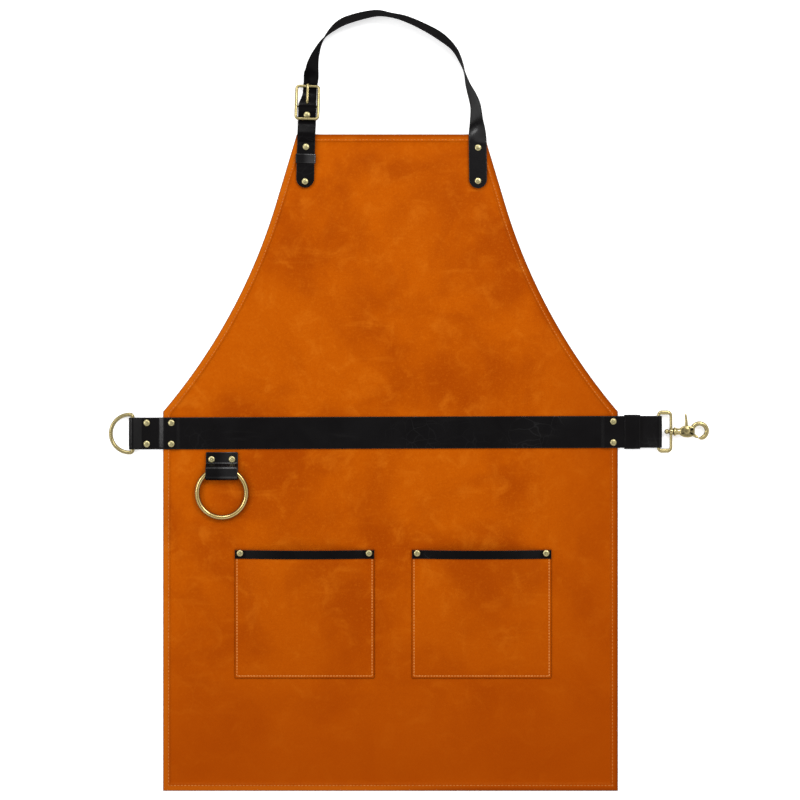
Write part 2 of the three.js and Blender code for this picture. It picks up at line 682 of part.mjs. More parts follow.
function buckleStrap() {
  const { end, stepFrom, stepTo, bibTop, lowered, lead, flapEnd } = BUCKLE_STRAP;
  const fold = foldLine({
    flapS: flapEnd,
    flapZ: NECK_HIDE / 2,
    barS: CENTRE_BAR.y,
    radius: foldRadius(CENTRE_BAR.wire, NECK_HIDE),
    leadS: lead,
    leadZ: NECK_LAP,
  });
  const onKeeper = NECK_ON_KEEPER + NECK_HIDE / 2;
  const onHem = NECK_ON_HEM + NECK_HIDE / 2;
  const roundFrom = end + NECK_WIDTH / 2;
  const line = [
    ...fold.map((p) => ({ y: p.x, z: p.y })),
    { y: lowered, z: NECK_LAP },
    { y: bibTop, z: onKeeper },
    { y: stepFrom, z: onKeeper },
    { y: stepTo, z: onHem },
    { y: roundFrom, z: onHem },
    ...roundEnd(NECK_WIDTH).map(({ reach, wide }) => ({ y: roundFrom - reach, z: onHem, wide })),
  ];
  const path = line.map(({ y, z, wide }) => ({ at: point(0, y, z), wide }));
  const strap = band(path, AXIS_X, flatSection(NECK_WIDTH, NECK_HIDE));
  const { slot, slotFrom, slotTo } = TONGUE;
  const slotted = cut(strap, block(-slot / 2, slot / 2, slotFrom, slotTo, -1, STUD.top + NECK_HIDE));
  return drilled(slotted.applyMatrix4(leftFrame), [...buckleRivets, stud]);
}

function strapKeeper() {
  const { y, width, hide } = STRAP_KEEPER;
  const half = NECK_WIDTH / 2 + GAP + hide / 2;
  const low = NECK_ON_KEEPER - GAP - hide / 2;
  const high = NECK_ON_KEEPER + NECK_HIDE + GAP + hide / 2;
  const loop = roundedRectangle(-half, half, low, high, hide);
  const path = loop.map((p) => ({ at: point(p.x, y, p.y) }));
  return band(path, AXIS_Y, flatSection(width, hide), true).applyMatrix4(leftFrame);
}

function buckleFrame() {
  const { wire, half, lowBar, highBar, lowZ, highZ, corner, sides } = BUCKLE;
  const run = highBar - lowBar;
  const long = Math.hypot(run, lowZ - highZ) / 2;
  const loop = roundedRectangle(-half, half, -long, long, corner);
  const path = loop.map((p) => ({ at: point(p.x, p.y, 0) }));
  const frame = band(path, AXIS_Z, roundSection(wire / 2, sides), true)
    .rotateX(-Math.atan2(lowZ - highZ, run))
    .translate(0, (lowBar + highBar) / 2, (lowZ + highZ) / 2);
  const bar = CENTRE_BAR;
  const legZ = lowZ + ((highZ - lowZ) * (bar.y - lowBar)) / run;
  const dropped = [
    point(-half, bar.y, legZ),
    point(-bar.half, bar.y, bar.z),
    point(bar.half, bar.y, bar.z),
    point(half, bar.y, legZ),
  ].map((at) => ({ at }));
  const crossbar = band(dropped, AXIS_Y, roundSection(bar.wire / 2, bar.sides));
  return fuse(frame, crossbar).applyMatrix4(leftFrame);
}

function buckleTongue() {
  const { width, curl, curlFrom } = TONGUE;
  const radius = CENTRE_BAR.wire / 2 + GAP + curl / 2;
  const loop = arc(CENTRE_BAR.y, CENTRE_BAR.z, radius, curlFrom, 2 * Math.PI, 8);
  const line = [...loop.map((p) => ({ y: p.x, z: p.y, thick: curl })), ...TONGUE_LINE];
  const path = line.map(({ y, z, thick }) => ({ at: point(0, y, z), deep: thick }));
  return band(path, AXIS_X, flatSection(width, 1)).applyMatrix4(leftFrame);
}

// Rows along the whole neck strap: the free end, the loop and the right anchor with its round end
function neckRows() {
  const tail = TAIL.map(({ y, base }) => ({ x: alongLeft(y).x, y: alongLeft(y).y, roll: 0, base }));
  const curve = (points) => new THREE.CatmullRomCurve3(points, false, 'catmullrom');
  const route = curve(LOOP.map(({ x, y }) => point(x, y, 0)));
  const stance = curve(LOOP.map(({ roll, base }) => point(roll, base, 0)));
  const loop = spread(0, 1, (LOOP.length - 1) * LOOP_STEPS).map((t) => {
    const place = route.getPoint(t);
    const held = stance.getPoint(t);
    return { x: place.x, y: place.y, roll: radians(held.x), base: Math.max(0, held.y) };
  });
  const { x, end } = RIGHT_ANCHOR;
  const roundFrom = end + NECK_WIDTH / 2;
  const anchor = [
    { x, y: roundFrom, roll: 0, base: NECK_ON_HEM },
    ...roundEnd(NECK_WIDTH).map(({ reach, wide }) => (
      { x, y: roundFrom - reach, roll: 0, base: NECK_ON_HEM, wide }
    )),
  ];
  return [...tail, ...loop, ...anchor];
}

function neckStrap() {
  const rows = neckRows();
  const stations = rows.map(({ x, y, roll, base, wide }, i) => {
    const before = rows[Math.max(0, i - 1)];
    const after = rows[Math.min(rows.length - 1, i + 1)];
    const outward = point(before.y - after.y, after.x - before.x, 0).normalize();
    const [sin, cos] = [Math.sin(roll), Math.cos(roll)];
    const z = base + (NECK_WIDTH / 2) * Math.abs(sin) + (NECK_HIDE / 2) * Math.abs(cos);
    return {
      at: point(x, y, z),
      side: outward.clone().multiplyScalar(cos).addScaledVector(AXIS_Z, sin),
      up: AXIS_Z.clone().multiplyScalar(cos).addScaledVector(outward, -sin),
      wide,
    };
  });
  const strap = sweep(stations, flatSection(NECK_WIDTH, NECK_HIDE));
  const { half, from, to, low, high } = TAIL_HOLE;
  const hole = block(-half, half, from, to, low, high).applyMatrix4(leftFrame);
  return drilled(cut(strap, hole), [...neckRivets, stud]);
}

// The whole apron, its origin below its middle on the surface that it lies on

const apron = new THREE.Group();

function add(name, geometry, finish) {
  const mesh = new THREE.Mesh(geometry, new THREE.MeshStandardMaterial(finish));
  mesh.name = name;
  apron.add(mesh);
}

function addRivets(name, rivets) {
  rivets.forEach((place, i) => add(`${name}_${i + 1}`, rivet(place), paleBrass));
}

add('apron_body', apronBody(), tanLeather);
for (const pocket of POCKETS) {
  add(`pocket_${pocket.name}`, pocketPanel(pocket), tanLeather);
  add(`pocket_trim_${pocket.name}`, pocketTrim(pocket), blackLeather);
}
addRivets('pocket_rivet', pocketRivets);

add('waist_belt', waistBelt(), blackLeather);
add('belt_keeper', beltKeeper(), blackLeather);
addRivets('belt_rivet', beltRivets);
add('d_ring', dRing(), brass);
add('snap_frame', snapFrame(), brass);
add('snap_hook', snapHook(), brass);
add('snap_trigger', snapTrigger(), brass);

add('ring_tab', ringTab(), blackLeather);
addRivets('tab_rivet', tabRivets);
add('hang_ring', hangRing(), brass);

add('neck_strap', neckStrap(), blackLeather);
addRivets('neck_rivet', neckRivets);
add('buckle_strap', buckleStrap(), blackLeather);
addRivets('buckle_rivet', buckleRivets);
add('strap_keeper', strapKeeper(), blackLeather);
add('buckle_frame', buckleFrame(), brass);
add('buckle_tongue', buckleTongue(), brass);
add('buckle_stud', rivet(stud), paleBrass);

const box = new THREE.Box3().setFromObject(apron);
const middle = box.getCenter(new THREE.Vector3());
apron.position.set(-middle.x, -middle.y, -box.min.z);

export default apron;
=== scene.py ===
"""A leather work apron laid flat: hide, pockets, belt, neck strap and brass fittings, dressed and lit.

Sizes are millimetres in the drawing's own layout: the hem lies on Y = 0, the apron's middle on X = 0
and the surface that it lies on at Z = 0. Layout turns them into the frame's metres.
"""

import logging
import math
from dataclasses import dataclass, field
from enum import Enum

import bpy
import numpy as np
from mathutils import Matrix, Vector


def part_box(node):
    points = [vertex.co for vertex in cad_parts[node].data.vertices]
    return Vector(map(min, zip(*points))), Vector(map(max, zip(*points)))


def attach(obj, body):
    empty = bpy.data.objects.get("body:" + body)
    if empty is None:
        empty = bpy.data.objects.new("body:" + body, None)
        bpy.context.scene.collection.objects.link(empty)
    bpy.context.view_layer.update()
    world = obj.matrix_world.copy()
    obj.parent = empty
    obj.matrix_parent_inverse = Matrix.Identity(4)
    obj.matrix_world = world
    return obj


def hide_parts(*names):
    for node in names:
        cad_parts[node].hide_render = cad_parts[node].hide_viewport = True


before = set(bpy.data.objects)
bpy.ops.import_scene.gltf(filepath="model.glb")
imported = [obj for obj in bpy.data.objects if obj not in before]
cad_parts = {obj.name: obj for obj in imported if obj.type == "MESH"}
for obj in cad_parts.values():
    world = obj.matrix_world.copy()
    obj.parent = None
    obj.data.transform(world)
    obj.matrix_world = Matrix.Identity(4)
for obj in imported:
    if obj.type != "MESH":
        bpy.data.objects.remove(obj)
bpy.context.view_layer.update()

log = logging.getLogger("apron")

# A millimetre in metres, the room left between neighbouring layers, a quarter turn, and straight up
MM = 0.001
GAP = 0.3
QUARTER = math.pi / 2
UP = (0.0, 0.0, 1.0)


class Slot(Enum):
    """The material slots of the record."""

    TAN = "tan_leather"
    BLACK = "black_leather"
    FITTING = "fitting_brass"
    RIVET = "rivet_brass"


class Layout:
    """Where the drawing's millimetres lie in the frame's metres."""

    def __init__(self) -> None:
        """Takes the hem's middle from the apron sheet's own box."""
        low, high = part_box("apron_body")
        self.origin = np.array([(low.x + high.x) / 2, low.y, low.z])

    def metres(self, points: np.ndarray) -> np.ndarray:
        """Points of the drawing, in the frame."""
        return np.asarray(points, float) * MM + self.origin


LAYOUT = Layout()


@dataclass
class Surface:
    """A closed surface: points in millimetres, four-sided and three-sided faces, and edge distances."""

    points: np.ndarray
    quads: np.ndarray
    triangles: np.ndarray = field(default_factory=lambda: np.zeros((0, 3), int))
    edge: np.ndarray | None = None

    def all_triangles(self) -> np.ndarray:
        """Every face as triangles, each quad split along its first diagonal."""
        return np.concatenate([self.quads[:, [0, 1, 2]], self.quads[:, [0, 2, 3]], self.triangles])

    def outward(self) -> "Surface":
        """The same surface with its faces pointing out: a negative enclosed volume turns them all round."""
        a, b, c = (self.points[self.all_triangles()[:, k]] for k in range(3))
        if np.einsum("ij,ij->", a, np.cross(b, c)) < 0:
            self.quads = self.quads[:, ::-1]
            self.triangles = self.triangles[:, ::-1]
        return self

    def moved(self, turn: np.ndarray | None = None,
              by: tuple[float, float, float] = (0, 0, 0)) -> "Surface":
        """A copy turned by a matrix and then moved.

        Args:
            turn: a 3 by 3 rotation, or None for no turn.
            by: the move, in millimetres.

        Returns:
            The new surface.
        """
        points = self.points if turn is None else self.points @ turn.T
        return Surface(points + np.asarray(by, float), self.quads, self.triangles, self.edge)


def joined(surfaces: list[Surface]) -> Surface:
    """One surface that holds all the given ones, with their faces renumbered in order."""
    starts = np.cumsum([0] + [len(s.points) for s in surfaces])[:-1]
    edges = [np.zeros(len(s.points)) if s.edge is None else s.edge for s in surfaces]
    return Surface(
        np.concatenate([s.points for s in surfaces]),
        np.concatenate([s.quads + k for s, k in zip(surfaces, starts)]),
        np.concatenate([s.triangles + k for s, k in zip(surfaces, starts)]),
        np.concatenate(edges),
    )


def grid_surface(grid: np.ndarray, wrap_rows: bool = False, wrap_columns: bool = False,
                 capped: bool = False) -> Surface:
    """A grid of points as four-sided faces between neighbouring rows and columns.

    Args:
        grid: points by row and column.
        wrap_rows: the last row joins the first.
        wrap_columns: the last column joins the first.
        capped: the first and last rows are closed by a fan round their middle.

    Returns:
        The surface, turned outwards where it is closed.
    """
    rows, columns = grid.shape[:2]
    index = np.arange(rows * columns).reshape(rows, columns)
    down = index if wrap_rows else index[:-1]
    below = np.roll(index, -1, 0) if wrap_rows else index[1:]
    if wrap_columns:
        corners = [down, np.roll(down, -1, 1), np.roll(below, -1, 1), below]
    else:
        corners = [down[:, :-1], down[:, 1:], below[:, 1:], below[:, :-1]]
    quads = np.stack([c.ravel() for c in corners], 1)
    points = grid.reshape(-1, 3)
    if not capped:
        return Surface(points, quads).outward()
    middles = np.stack([grid[0].mean(0), grid[-1].mean(0)])
    first, last = index[0], index[-1]
    start, end = rows * columns, rows * columns + 1
    fans = [
        np.stack([np.full(columns, start), np.roll(first, -1), first], 1),
        np.stack([np.full(columns, end), last, np.roll(last, -1)], 1),
    ]
    return Surface(np.concatenate([points, middles]), quads, np.concatenate(fans)).outward()


def unit(vectors: np.ndarray) -> np.ndarray:
    """Vectors brought to length one along their last axis."""
    return vectors / np.maximum(np.linalg.norm(vectors, axis=-1, keepdims=True), 1e-12)


def turn_about(axis: int, angle: float) -> np.ndarray:
    """A rotation matrix about X, Y or Z (0, 1 or 2) by an angle in radians."""
    matrix = np.eye(3)
    i, j = (axis + 1) % 3, (axis + 2) % 3
    matrix[i, i] = matrix[j, j] = math.cos(angle)
    matrix[i, j], matrix[j, i] = -math.sin(angle), math.sin(angle)
    return matrix


def full_turn(count: int) -> np.ndarray:
    """Even angles round a full turn, without its end."""
    return np.arange(count) / count * 2 * math.pi


def path_length(places: np.ndarray) -> np.ndarray:
    """Each place's distance along a path from its start: the running sum of its legs."""
    return np.concatenate([[0], np.cumsum(np.linalg.norm(np.diff(places, axis=0), axis=1))])


def arc(cx: float, cy: float, radius: float, start: float, end: float, steps: int) -> np.ndarray:
    """Points of a plane arc, both ends included: centre plus radius times cosine and sine."""
    angle = np.linspace(start, end, steps + 1)
    return np.stack([cx + radius * np.cos(angle), cy + radius * np.sin(angle)], 1)


def rounded_rectangle(half_x: float, low_y: float, high_y: float, radius: float,
                      steps: int = 8) -> np.ndarray:
    """A rectangle about X = 0 with four quarter-round corners, as points in order."""
    right, left = half_x - radius, radius - half_x
    return np.concatenate([
        arc(right, low_y + radius, radius, -QUARTER, 0, steps),
        arc(right, high_y - radius, radius, 0, QUARTER, steps),
        arc(left, high_y - radius, radius, QUARTER, 2 * QUARTER, steps),
        arc(left, low_y + radius, radius, 2 * QUARTER, 3 * QUARTER, steps),
    ])


def spaced(rows: np.ndarray, step: float, smooth: float, dims: int = 3) -> np.ndarray:
    """Rows of a path at even spacing, softened.

    The rows are joined by straight runs, read off every step along their length, and each value is then
    averaged with its neighbours by a bell curve of the given width, with the two ends kept.

    Args:
        rows: one row for each given point; the first dims columns are its place.
        step: the spacing along the path, in millimetres.
        smooth: the bell curve's width along the path, in millimetres.
        dims: how many columns count as the place.

    Returns:
        The new rows.
    """
    length = path_length(rows[:, :dims])
    count = max(2, int(round(length[-1] / step)) + 1)
    at = np.linspace(0, length[-1], count)
    even = np.stack([np.interp(at, length, column) for column in rows.T], 1)
    reach = int(math.ceil(3 * smooth / step))
    if reach < 1:
        return even
    bell = np.exp(-0.5 * (np.arange(-reach, reach + 1) * step / smooth) ** 2)
    before = 2 * even[0] - even[reach:0:-1]
    after = 2 * even[-1] - even[-2:-2 - reach:-1]
    padded = np.concatenate([before, even, after])
    return np.stack([np.convolve(column, bell / bell.sum(), "valid") for column in padded.T], 1)


def catmull_rom(rows: np.ndarray, steps: int) -> np.ndarray:
    """A smooth curve through rows: on each stretch a cubic whose end slopes are half the step across it."""
    ends = np.concatenate([[2 * rows[0] - rows[1]], rows, [2 * rows[-1] - rows[-2]]])
    a, b, c, d = ends[:-3], ends[1:-2], ends[2:-1], ends[3:]
    t = (np.arange(steps) / steps)[None, :, None]
    a, b, c, d = (v[:, None, :] for v in (a, b, c, d))
    curve = 0.5 * (2 * b + (c - a) * t + (2 * a - 5 * b + 4 * c - d) * t**2
                   + (3 * b - a - 3 * c + d) * t**3)
    return np.concatenate([curve.reshape(-1, rows.shape[1]), rows[-1:]])


def strap_section(width: float, thick: float, crown: float) -> np.ndarray:
    """A strap's section, counter-clockwise: a slab with half-round edges and a face that rises.

    The face is a parabola, half its crown below the slab's face at its edges and half above in its middle.

    Args:
        width: the strap's width.
        thick: its thickness.
        crown: how far its face rises between its edges.

    Returns:
        The section's points.
    """
    edge_sheen_and_wear_share, edge_steps, under_points, face_points = 0.46, 5, 9, 17
    radius = edge_sheen_and_wear_share * thick
    low = np.linspace(-width / 2 + radius, width / 2 - radius, under_points)
    flat = np.stack([low, np.full_like(low, -thick / 2)], 1)
    right = arc(width / 2 - radius, 0, radius, -QUARTER, QUARTER, edge_steps)[1:-1]
    right[:, 1] *= thick / 2 / radius
    face = np.linspace(width / 2 - radius, -width / 2 + radius, face_points)
    rise = crown * (1 - (2 * face / width) ** 2) - 0.5 * crown
    top = np.stack([face, thick / 2 + rise], 1)
    left = right[::-1] * np.array([-1, 1])
    return np.concatenate([flat, right, top, left])


def sweep(path: np.ndarray, side: np.ndarray, up: np.ndarray, section: np.ndarray,
          wide: np.ndarray | float = 1.0, deep: np.ndarray | float = 1.0, closed: bool = False) -> Surface:
    """A section carried along a path: place plus side times the section's width plus up times its height.

    Args:
        path: the places, one row each.
        side: the section's first direction at each place, or one for all.
        up: its second direction, likewise.
        section: the section's points, in order.
        wide: stretch of the section along side, for each place or one for all.
        deep: stretch along up, likewise.
        closed: the path closes on itself; otherwise its ends are capped.

    Returns:
        The closed surface, with each point's distance from the section's side edge.
    """
    count = len(path)
    wide = np.broadcast_to(np.asarray(wide, float), count)
    deep = np.broadcast_to(np.asarray(deep, float), count)
    side = np.broadcast_to(side, (count, 3))
    up = np.broadcast_to(up, (count, 3))
    across = section[None, :, 0] * wide[:, None]
    grid = (path[:, None, :] + across[:, :, None] * side[:, None, :]
            + (section[None, :, 1] * deep[:, None])[:, :, None] * up[:, None, :])
    surface = grid_surface(grid, wrap_rows=closed, wrap_columns=True, capped=not closed)
    half = np.abs(section[:, 0]).max() * wide[:, None]
    edge = (half - np.abs(across)).ravel()
    surface.edge = edge if closed else np.concatenate([edge, [0, 0]])
    return surface


def round_section(sides: int) -> np.ndarray:
    """A circle of radius one, counter-clockwise."""
    angle = full_turn(sides)
    return np.stack([np.cos(angle), np.sin(angle)], 1)


def tube(path: np.ndarray, across: tuple[float, float, float], wide: np.ndarray | float,
         deep: np.ndarray | float, closed: bool = False, sides: int = 20) -> Surface:
    """A wire along a path that bends about one direction: an oval section, square to the path.

    Args:
        path: the wire's middle line.
        across: the direction that the path bends about.
        wide: the wire's radius along that direction.
        deep: its radius square to it.
        closed: the wire closes on itself.
        sides: points round the wire.

    Returns:
        The closed surface.
    """
    if closed:
        along = unit(np.roll(path, -1, 0) - np.roll(path, 1, 0))
    else:
        along = unit(np.gradient(path, axis=0))
    side = np.broadcast_to(np.asarray(across, float), path.shape)
    up = unit(np.cross(along, side))
    return sweep(path, side, up, round_section(sides), wide, deep, closed)


def turned_grid(profile: np.ndarray, sides: int) -> np.ndarray:
    """A profile of radius and height at even angles about the Z axis, by profile point and angle."""
    angle = full_turn(sides)
    return np.stack([
        profile[:, None, 0] * np.cos(angle),
        profile[:, None, 0] * np.sin(angle),
        np.broadcast_to(profile[:, None, 1], (len(profile), sides)),
    ], -1)


def lathe(profile: np.ndarray, sides: int = 40) -> Surface:
    """A profile of radius and height turned about the Z axis; it starts and ends on that axis."""
    surface = grid_surface(turned_grid(profile[1:-1], sides), wrap_columns=True, capped=True)
    surface.points[-2:] = [[0, 0, profile[0, 1]], [0, 0, profile[-1, 1]]]
    return surface


def ring_lathe(profile: np.ndarray, sides: int = 40) -> Surface:
    """A closed profile of radius and height turned about the Z axis, leaving a hole."""
    return grid_surface(turned_grid(profile, sides), wrap_rows=True, wrap_columns=True)


# Finishes


class Graph:
    """A node tree that is filled node by node."""

    def __init__(self, tree: bpy.types.NodeTree) -> None:
        """Keeps the tree."""
        self.tree = tree

    def feed(self, socket: bpy.types.NodeSocket, value: object) -> None:
        """Links a socket to another one, or sets its own value."""
        if isinstance(value, bpy.types.NodeSocket):
            self.tree.links.new(value, socket)
        else:
            socket.default_value = value

    def add(self, kind: str, inputs: dict | None = None, **settings: object) -> bpy.types.Node:
        """Adds a node.

        Args:
            kind: the node's type, without its Shader prefix where it has one.
            inputs: values or linked sockets by the input's name or number.
            settings: the node's own properties.

        Returns:
            The new node.
        """
        name = kind if kind.startswith("NodeGroup") else "ShaderNode" + kind
        node = self.tree.nodes.new(name)
        for key, value in settings.items():
            setattr(node, key, value)
        for key, value in (inputs or {}).items():
            self.feed(node.inputs[key], value)
        return node

    def group(self, tree: bpy.types.NodeTree, at: bpy.types.NodeSocket, **values: float) -> bpy.types.Node:
        """Places a shared group on the given coordinates, with its own values."""
        return self.add("Group", {"Vector": at, **values}, node_tree=tree)

    def attribute(self, name: str) -> bpy.types.NodeSocket:
        """The number that a mesh holds for each of its points."""
        return self.add("Attribute", attribute_name=name).outputs["Fac"]

    def math(self, operation: str, a: object, b: object) -> bpy.types.NodeSocket:
        """The result of a sum, product or other operation on two numbers."""
        return self.add("Math", {0: a, 1: b}, operation=operation).outputs[0]

    def scaled_sum(self, a: object, factor: float, plus: object,
                   clamp: bool = False) -> bpy.types.NodeSocket:
        """A number times a factor, plus another number."""
        inputs = {0: a, 1: factor, 2: plus}
        return self.add("Math", inputs, operation="MULTIPLY_ADD", use_clamp=clamp).outputs[0]

    def ramp(self, value: object, low: float, high: float, start: float = 0.0, end: float = 1.0,
             smooth: bool = True) -> bpy.types.NodeSocket:
        """A number carried from low..high to start..end, held at both ends."""
        kind = "SMOOTHSTEP" if smooth else "LINEAR"
        inputs = {"Value": value, "From Min": low, "From Max": high, "To Min": start, "To Max": end}
        return self.add("MapRange", inputs, interpolation_type=kind).outputs[0]

    def mix(self, factor: object, a: object, b: object) -> bpy.types.NodeSocket:
        """Two colours mixed by a factor."""
        return self.add("Mix", {0: factor, 6: a, 7: b}, data_type="RGBA").outputs[2]

    def laid_over(self, base: object, layers: list[tuple[object, object]]) -> bpy.types.NodeSocket:
        """A colour with others laid over it in order, each by its share."""
        for share, tone in layers:
            base = self.mix(share, base, tone)
        return base

    def noise(self, vector: object, scale: object, detail: float = 3.0, rough: float = 0.55,
              distortion: float = 0.0) -> bpy.types.NodeSocket:
        """Cloudy noise between 0 and 1."""
        inputs = {"Vector": vector, "Scale": scale, "Detail": detail, "Roughness": rough,
                  "Distortion": distortion}
        return self.add("TexNoise", inputs).outputs["Fac"]

    def warped(self, vector: object, scale: float, detail: float, by: float) -> bpy.types.NodeSocket:
        """Coordinates shifted by coloured noise times an amount."""
        noise = self.add("TexNoise", {"Vector": vector, "Scale": scale, "Detail": detail})
        shift = self.add("VectorMath", {0: noise.outputs["Color"], 1: (by, by, by)}, operation="MULTIPLY")
        return self.add("VectorMath", {0: vector, 1: shift.outputs[0]}, operation="ADD").outputs[0]

    def stretched(self, vector: object, turn: tuple[float, float, float],
                  along: float) -> bpy.types.NodeSocket:
        """Coordinates turned and then drawn together along their first axis."""
        inputs = {"Vector": vector, "Rotation": turn, "Scale": (along, 1.0, 1.0)}
        return self.add("Mapping", inputs).outputs[0]

    def bump(self, height: object, strength: float, distance: float) -> bpy.types.NodeSocket:
        """A normal tipped by a height."""
        inputs = {"Height": height, "Strength": strength, "Distance": distance}
        return self.add("Bump", inputs).outputs[0]


def colour(red: float, green: float, blue: float) -> tuple[float, float, float, float]:
    """A linear colour with full alpha."""
    return red, green, blue, 1.0


def new_group(name: str, inputs: dict[str, float | None],
              outputs: list[str]) -> tuple[bpy.types.NodeTree, Graph]:
    """A shader node group with named sockets.

    Args:
        name: the group's name.
        inputs: each input's name, with its number or None for a vector.
        outputs: the names of its number outputs.

    Returns:
        The group and a graph to fill it.
    """
    group = bpy.data.node_groups.new(name, "ShaderNodeTree")
    for key, value in inputs.items():
        kind = "NodeSocketVector" if value is None else "NodeSocketFloat"
        socket = group.interface.new_socket(key, in_out="INPUT", socket_type=kind)
        if value is not None:
            socket.default_value = value
    for key in outputs:
        group.interface.new_socket(key, in_out="OUTPUT", socket_type="NodeSocketFloat")
    return group, Graph(group)


def leather_tone_group() -> bpy.types.NodeTree:
    """Clouds, mottling, rubbed streaks and fine creases of waxed leather, as numbers from 0 to 1.

    Clouds and mottling are noise at two scales; streaks are noise stretched along a slanting direction and
    kept only where it peaks; creases are the borders of a warped cell pattern, broken up by noise.
    """
    group, graph = new_group("leather_tone", {"Vector": None, "Cloud": 8.0, "Streak": 58.0, "Crease": 16.0},
                             ["Cloud", "Mottle", "Streak", "Crease"])
    source = graph.add("NodeGroupInput").outputs
    at = source["Vector"]
    finer = graph.math("MULTIPLY", source["Cloud"], 4.3)
    stretch = graph.stretched(at, turn=(0.0, 0.0, 0.82), along=0.2)
    streaks = graph.noise(stretch, source["Streak"], detail=3.0, rough=0.55, distortion=0.25)
    warped = graph.warped(at, scale=11.0, detail=3.0, by=0.075)
    cells = graph.add("TexVoronoi", {"Vector": warped, "Scale": source["Crease"]},
                      feature="DISTANCE_TO_EDGE")
    border = graph.ramp(cells.outputs["Distance"], low=0.0, high=0.035, start=1.0, end=0.0)
    broken = graph.ramp(graph.noise(at, scale=9.0, detail=3.0), low=0.52, high=0.7)
    graph.add("NodeGroupOutput", {
        "Cloud": graph.noise(at, source["Cloud"], detail=4.0, rough=0.55, distortion=0.4),
        "Mottle": graph.noise(at, finer, detail=5.0, rough=0.62, distortion=0.6),
        "Streak": graph.ramp(streaks, low=0.6, high=0.78),
        "Crease": graph.math("MULTIPLY", border, broken),
    })
    return group


def leather_grain_group() -> bpy.types.NodeTree:
    """The grain of leather as a height: rounded pebbles with pores between them, over slow unevenness."""
    slow_share, pebble_share = 0.9, -0.8
    group, graph = new_group("leather_grain", {"Vector": None, "Pebble": 620.0, "Unevenness": 90.0},
                             ["Height"])
    source = graph.add("NodeGroupInput").outputs
    place = graph.warped(source["Vector"], scale=260.0, detail=2.0, by=0.0011)
    cells = graph.add("TexVoronoi", {"Vector": place, "Scale": source["Pebble"]}, feature="SMOOTH_F1")
    slow = graph.noise(source["Vector"], source["Unevenness"], detail=4.0, rough=0.5)
    pebbles = graph.math("MULTIPLY", cells.outputs["Distance"], pebble_share)
    graph.add("NodeGroupOutput", {"Height": graph.scaled_sum(slow, slow_share, pebbles)})
    return group


def rubbed_metal_group() -> bpy.types.NodeTree:
    """Rubbed metal: slow tarnish clouds and fine scratches in two directions, as numbers from 0 to 1."""
    group, graph = new_group("rubbed_metal", {"Vector": None, "Tarnish": 120.0, "Scratch": 900.0},
                             ["Tarnish", "Scratch"])
    source = graph.add("NodeGroupInput").outputs
    tarnish = graph.noise(source["Vector"], source["Tarnish"], detail=4.0, rough=0.6, distortion=0.3)
    lines = []
    for angle in (0.5, -0.9):
        stretch = graph.stretched(source["Vector"], turn=(0.3, 0.2, angle), along=0.06)
        lines.append(graph.ramp(graph.noise(stretch, source["Scratch"], detail=2.0), low=0.62, high=0.8))
    graph.add("NodeGroupOutput", {
        "Tarnish": graph.ramp(tarnish, low=0.3, high=0.75),
        "Scratch": graph.math("MAXIMUM", *lines),
    })
    return group


class SharedGroups:
    """The node groups that several finishes use, each built once."""

    def __init__(self) -> None:
        """Builds the groups."""
        self.tone = leather_tone_group()
        self.grain = leather_grain_group()
        self.metal = rubbed_metal_group()


GROUPS = SharedGroups()


def new_material(name: str) -> tuple[bpy.types.Material, Graph, bpy.types.Node, bpy.types.NodeSocket]:
    """A material with an empty shader.

    Args:
        name: the material's name.

    Returns:
        The material, its graph, its shader node and its Object coordinates.
    """
    material = bpy.data.materials.new(name)
    material.use_nodes = True
    graph = Graph(material.node_tree)
    shader = material.node_tree.nodes["Principled BSDF"]
    return material, graph, shader, graph.add("TexCoord").outputs["Object"]


def set_shader(graph: Graph, shader: bpy.types.Node, **values: object) -> None:
    """Sets or links a shader's inputs, named with _ for a space."""
    for key, value in values.items():
        graph.feed(shader.inputs[key.replace("_", " ")], value)


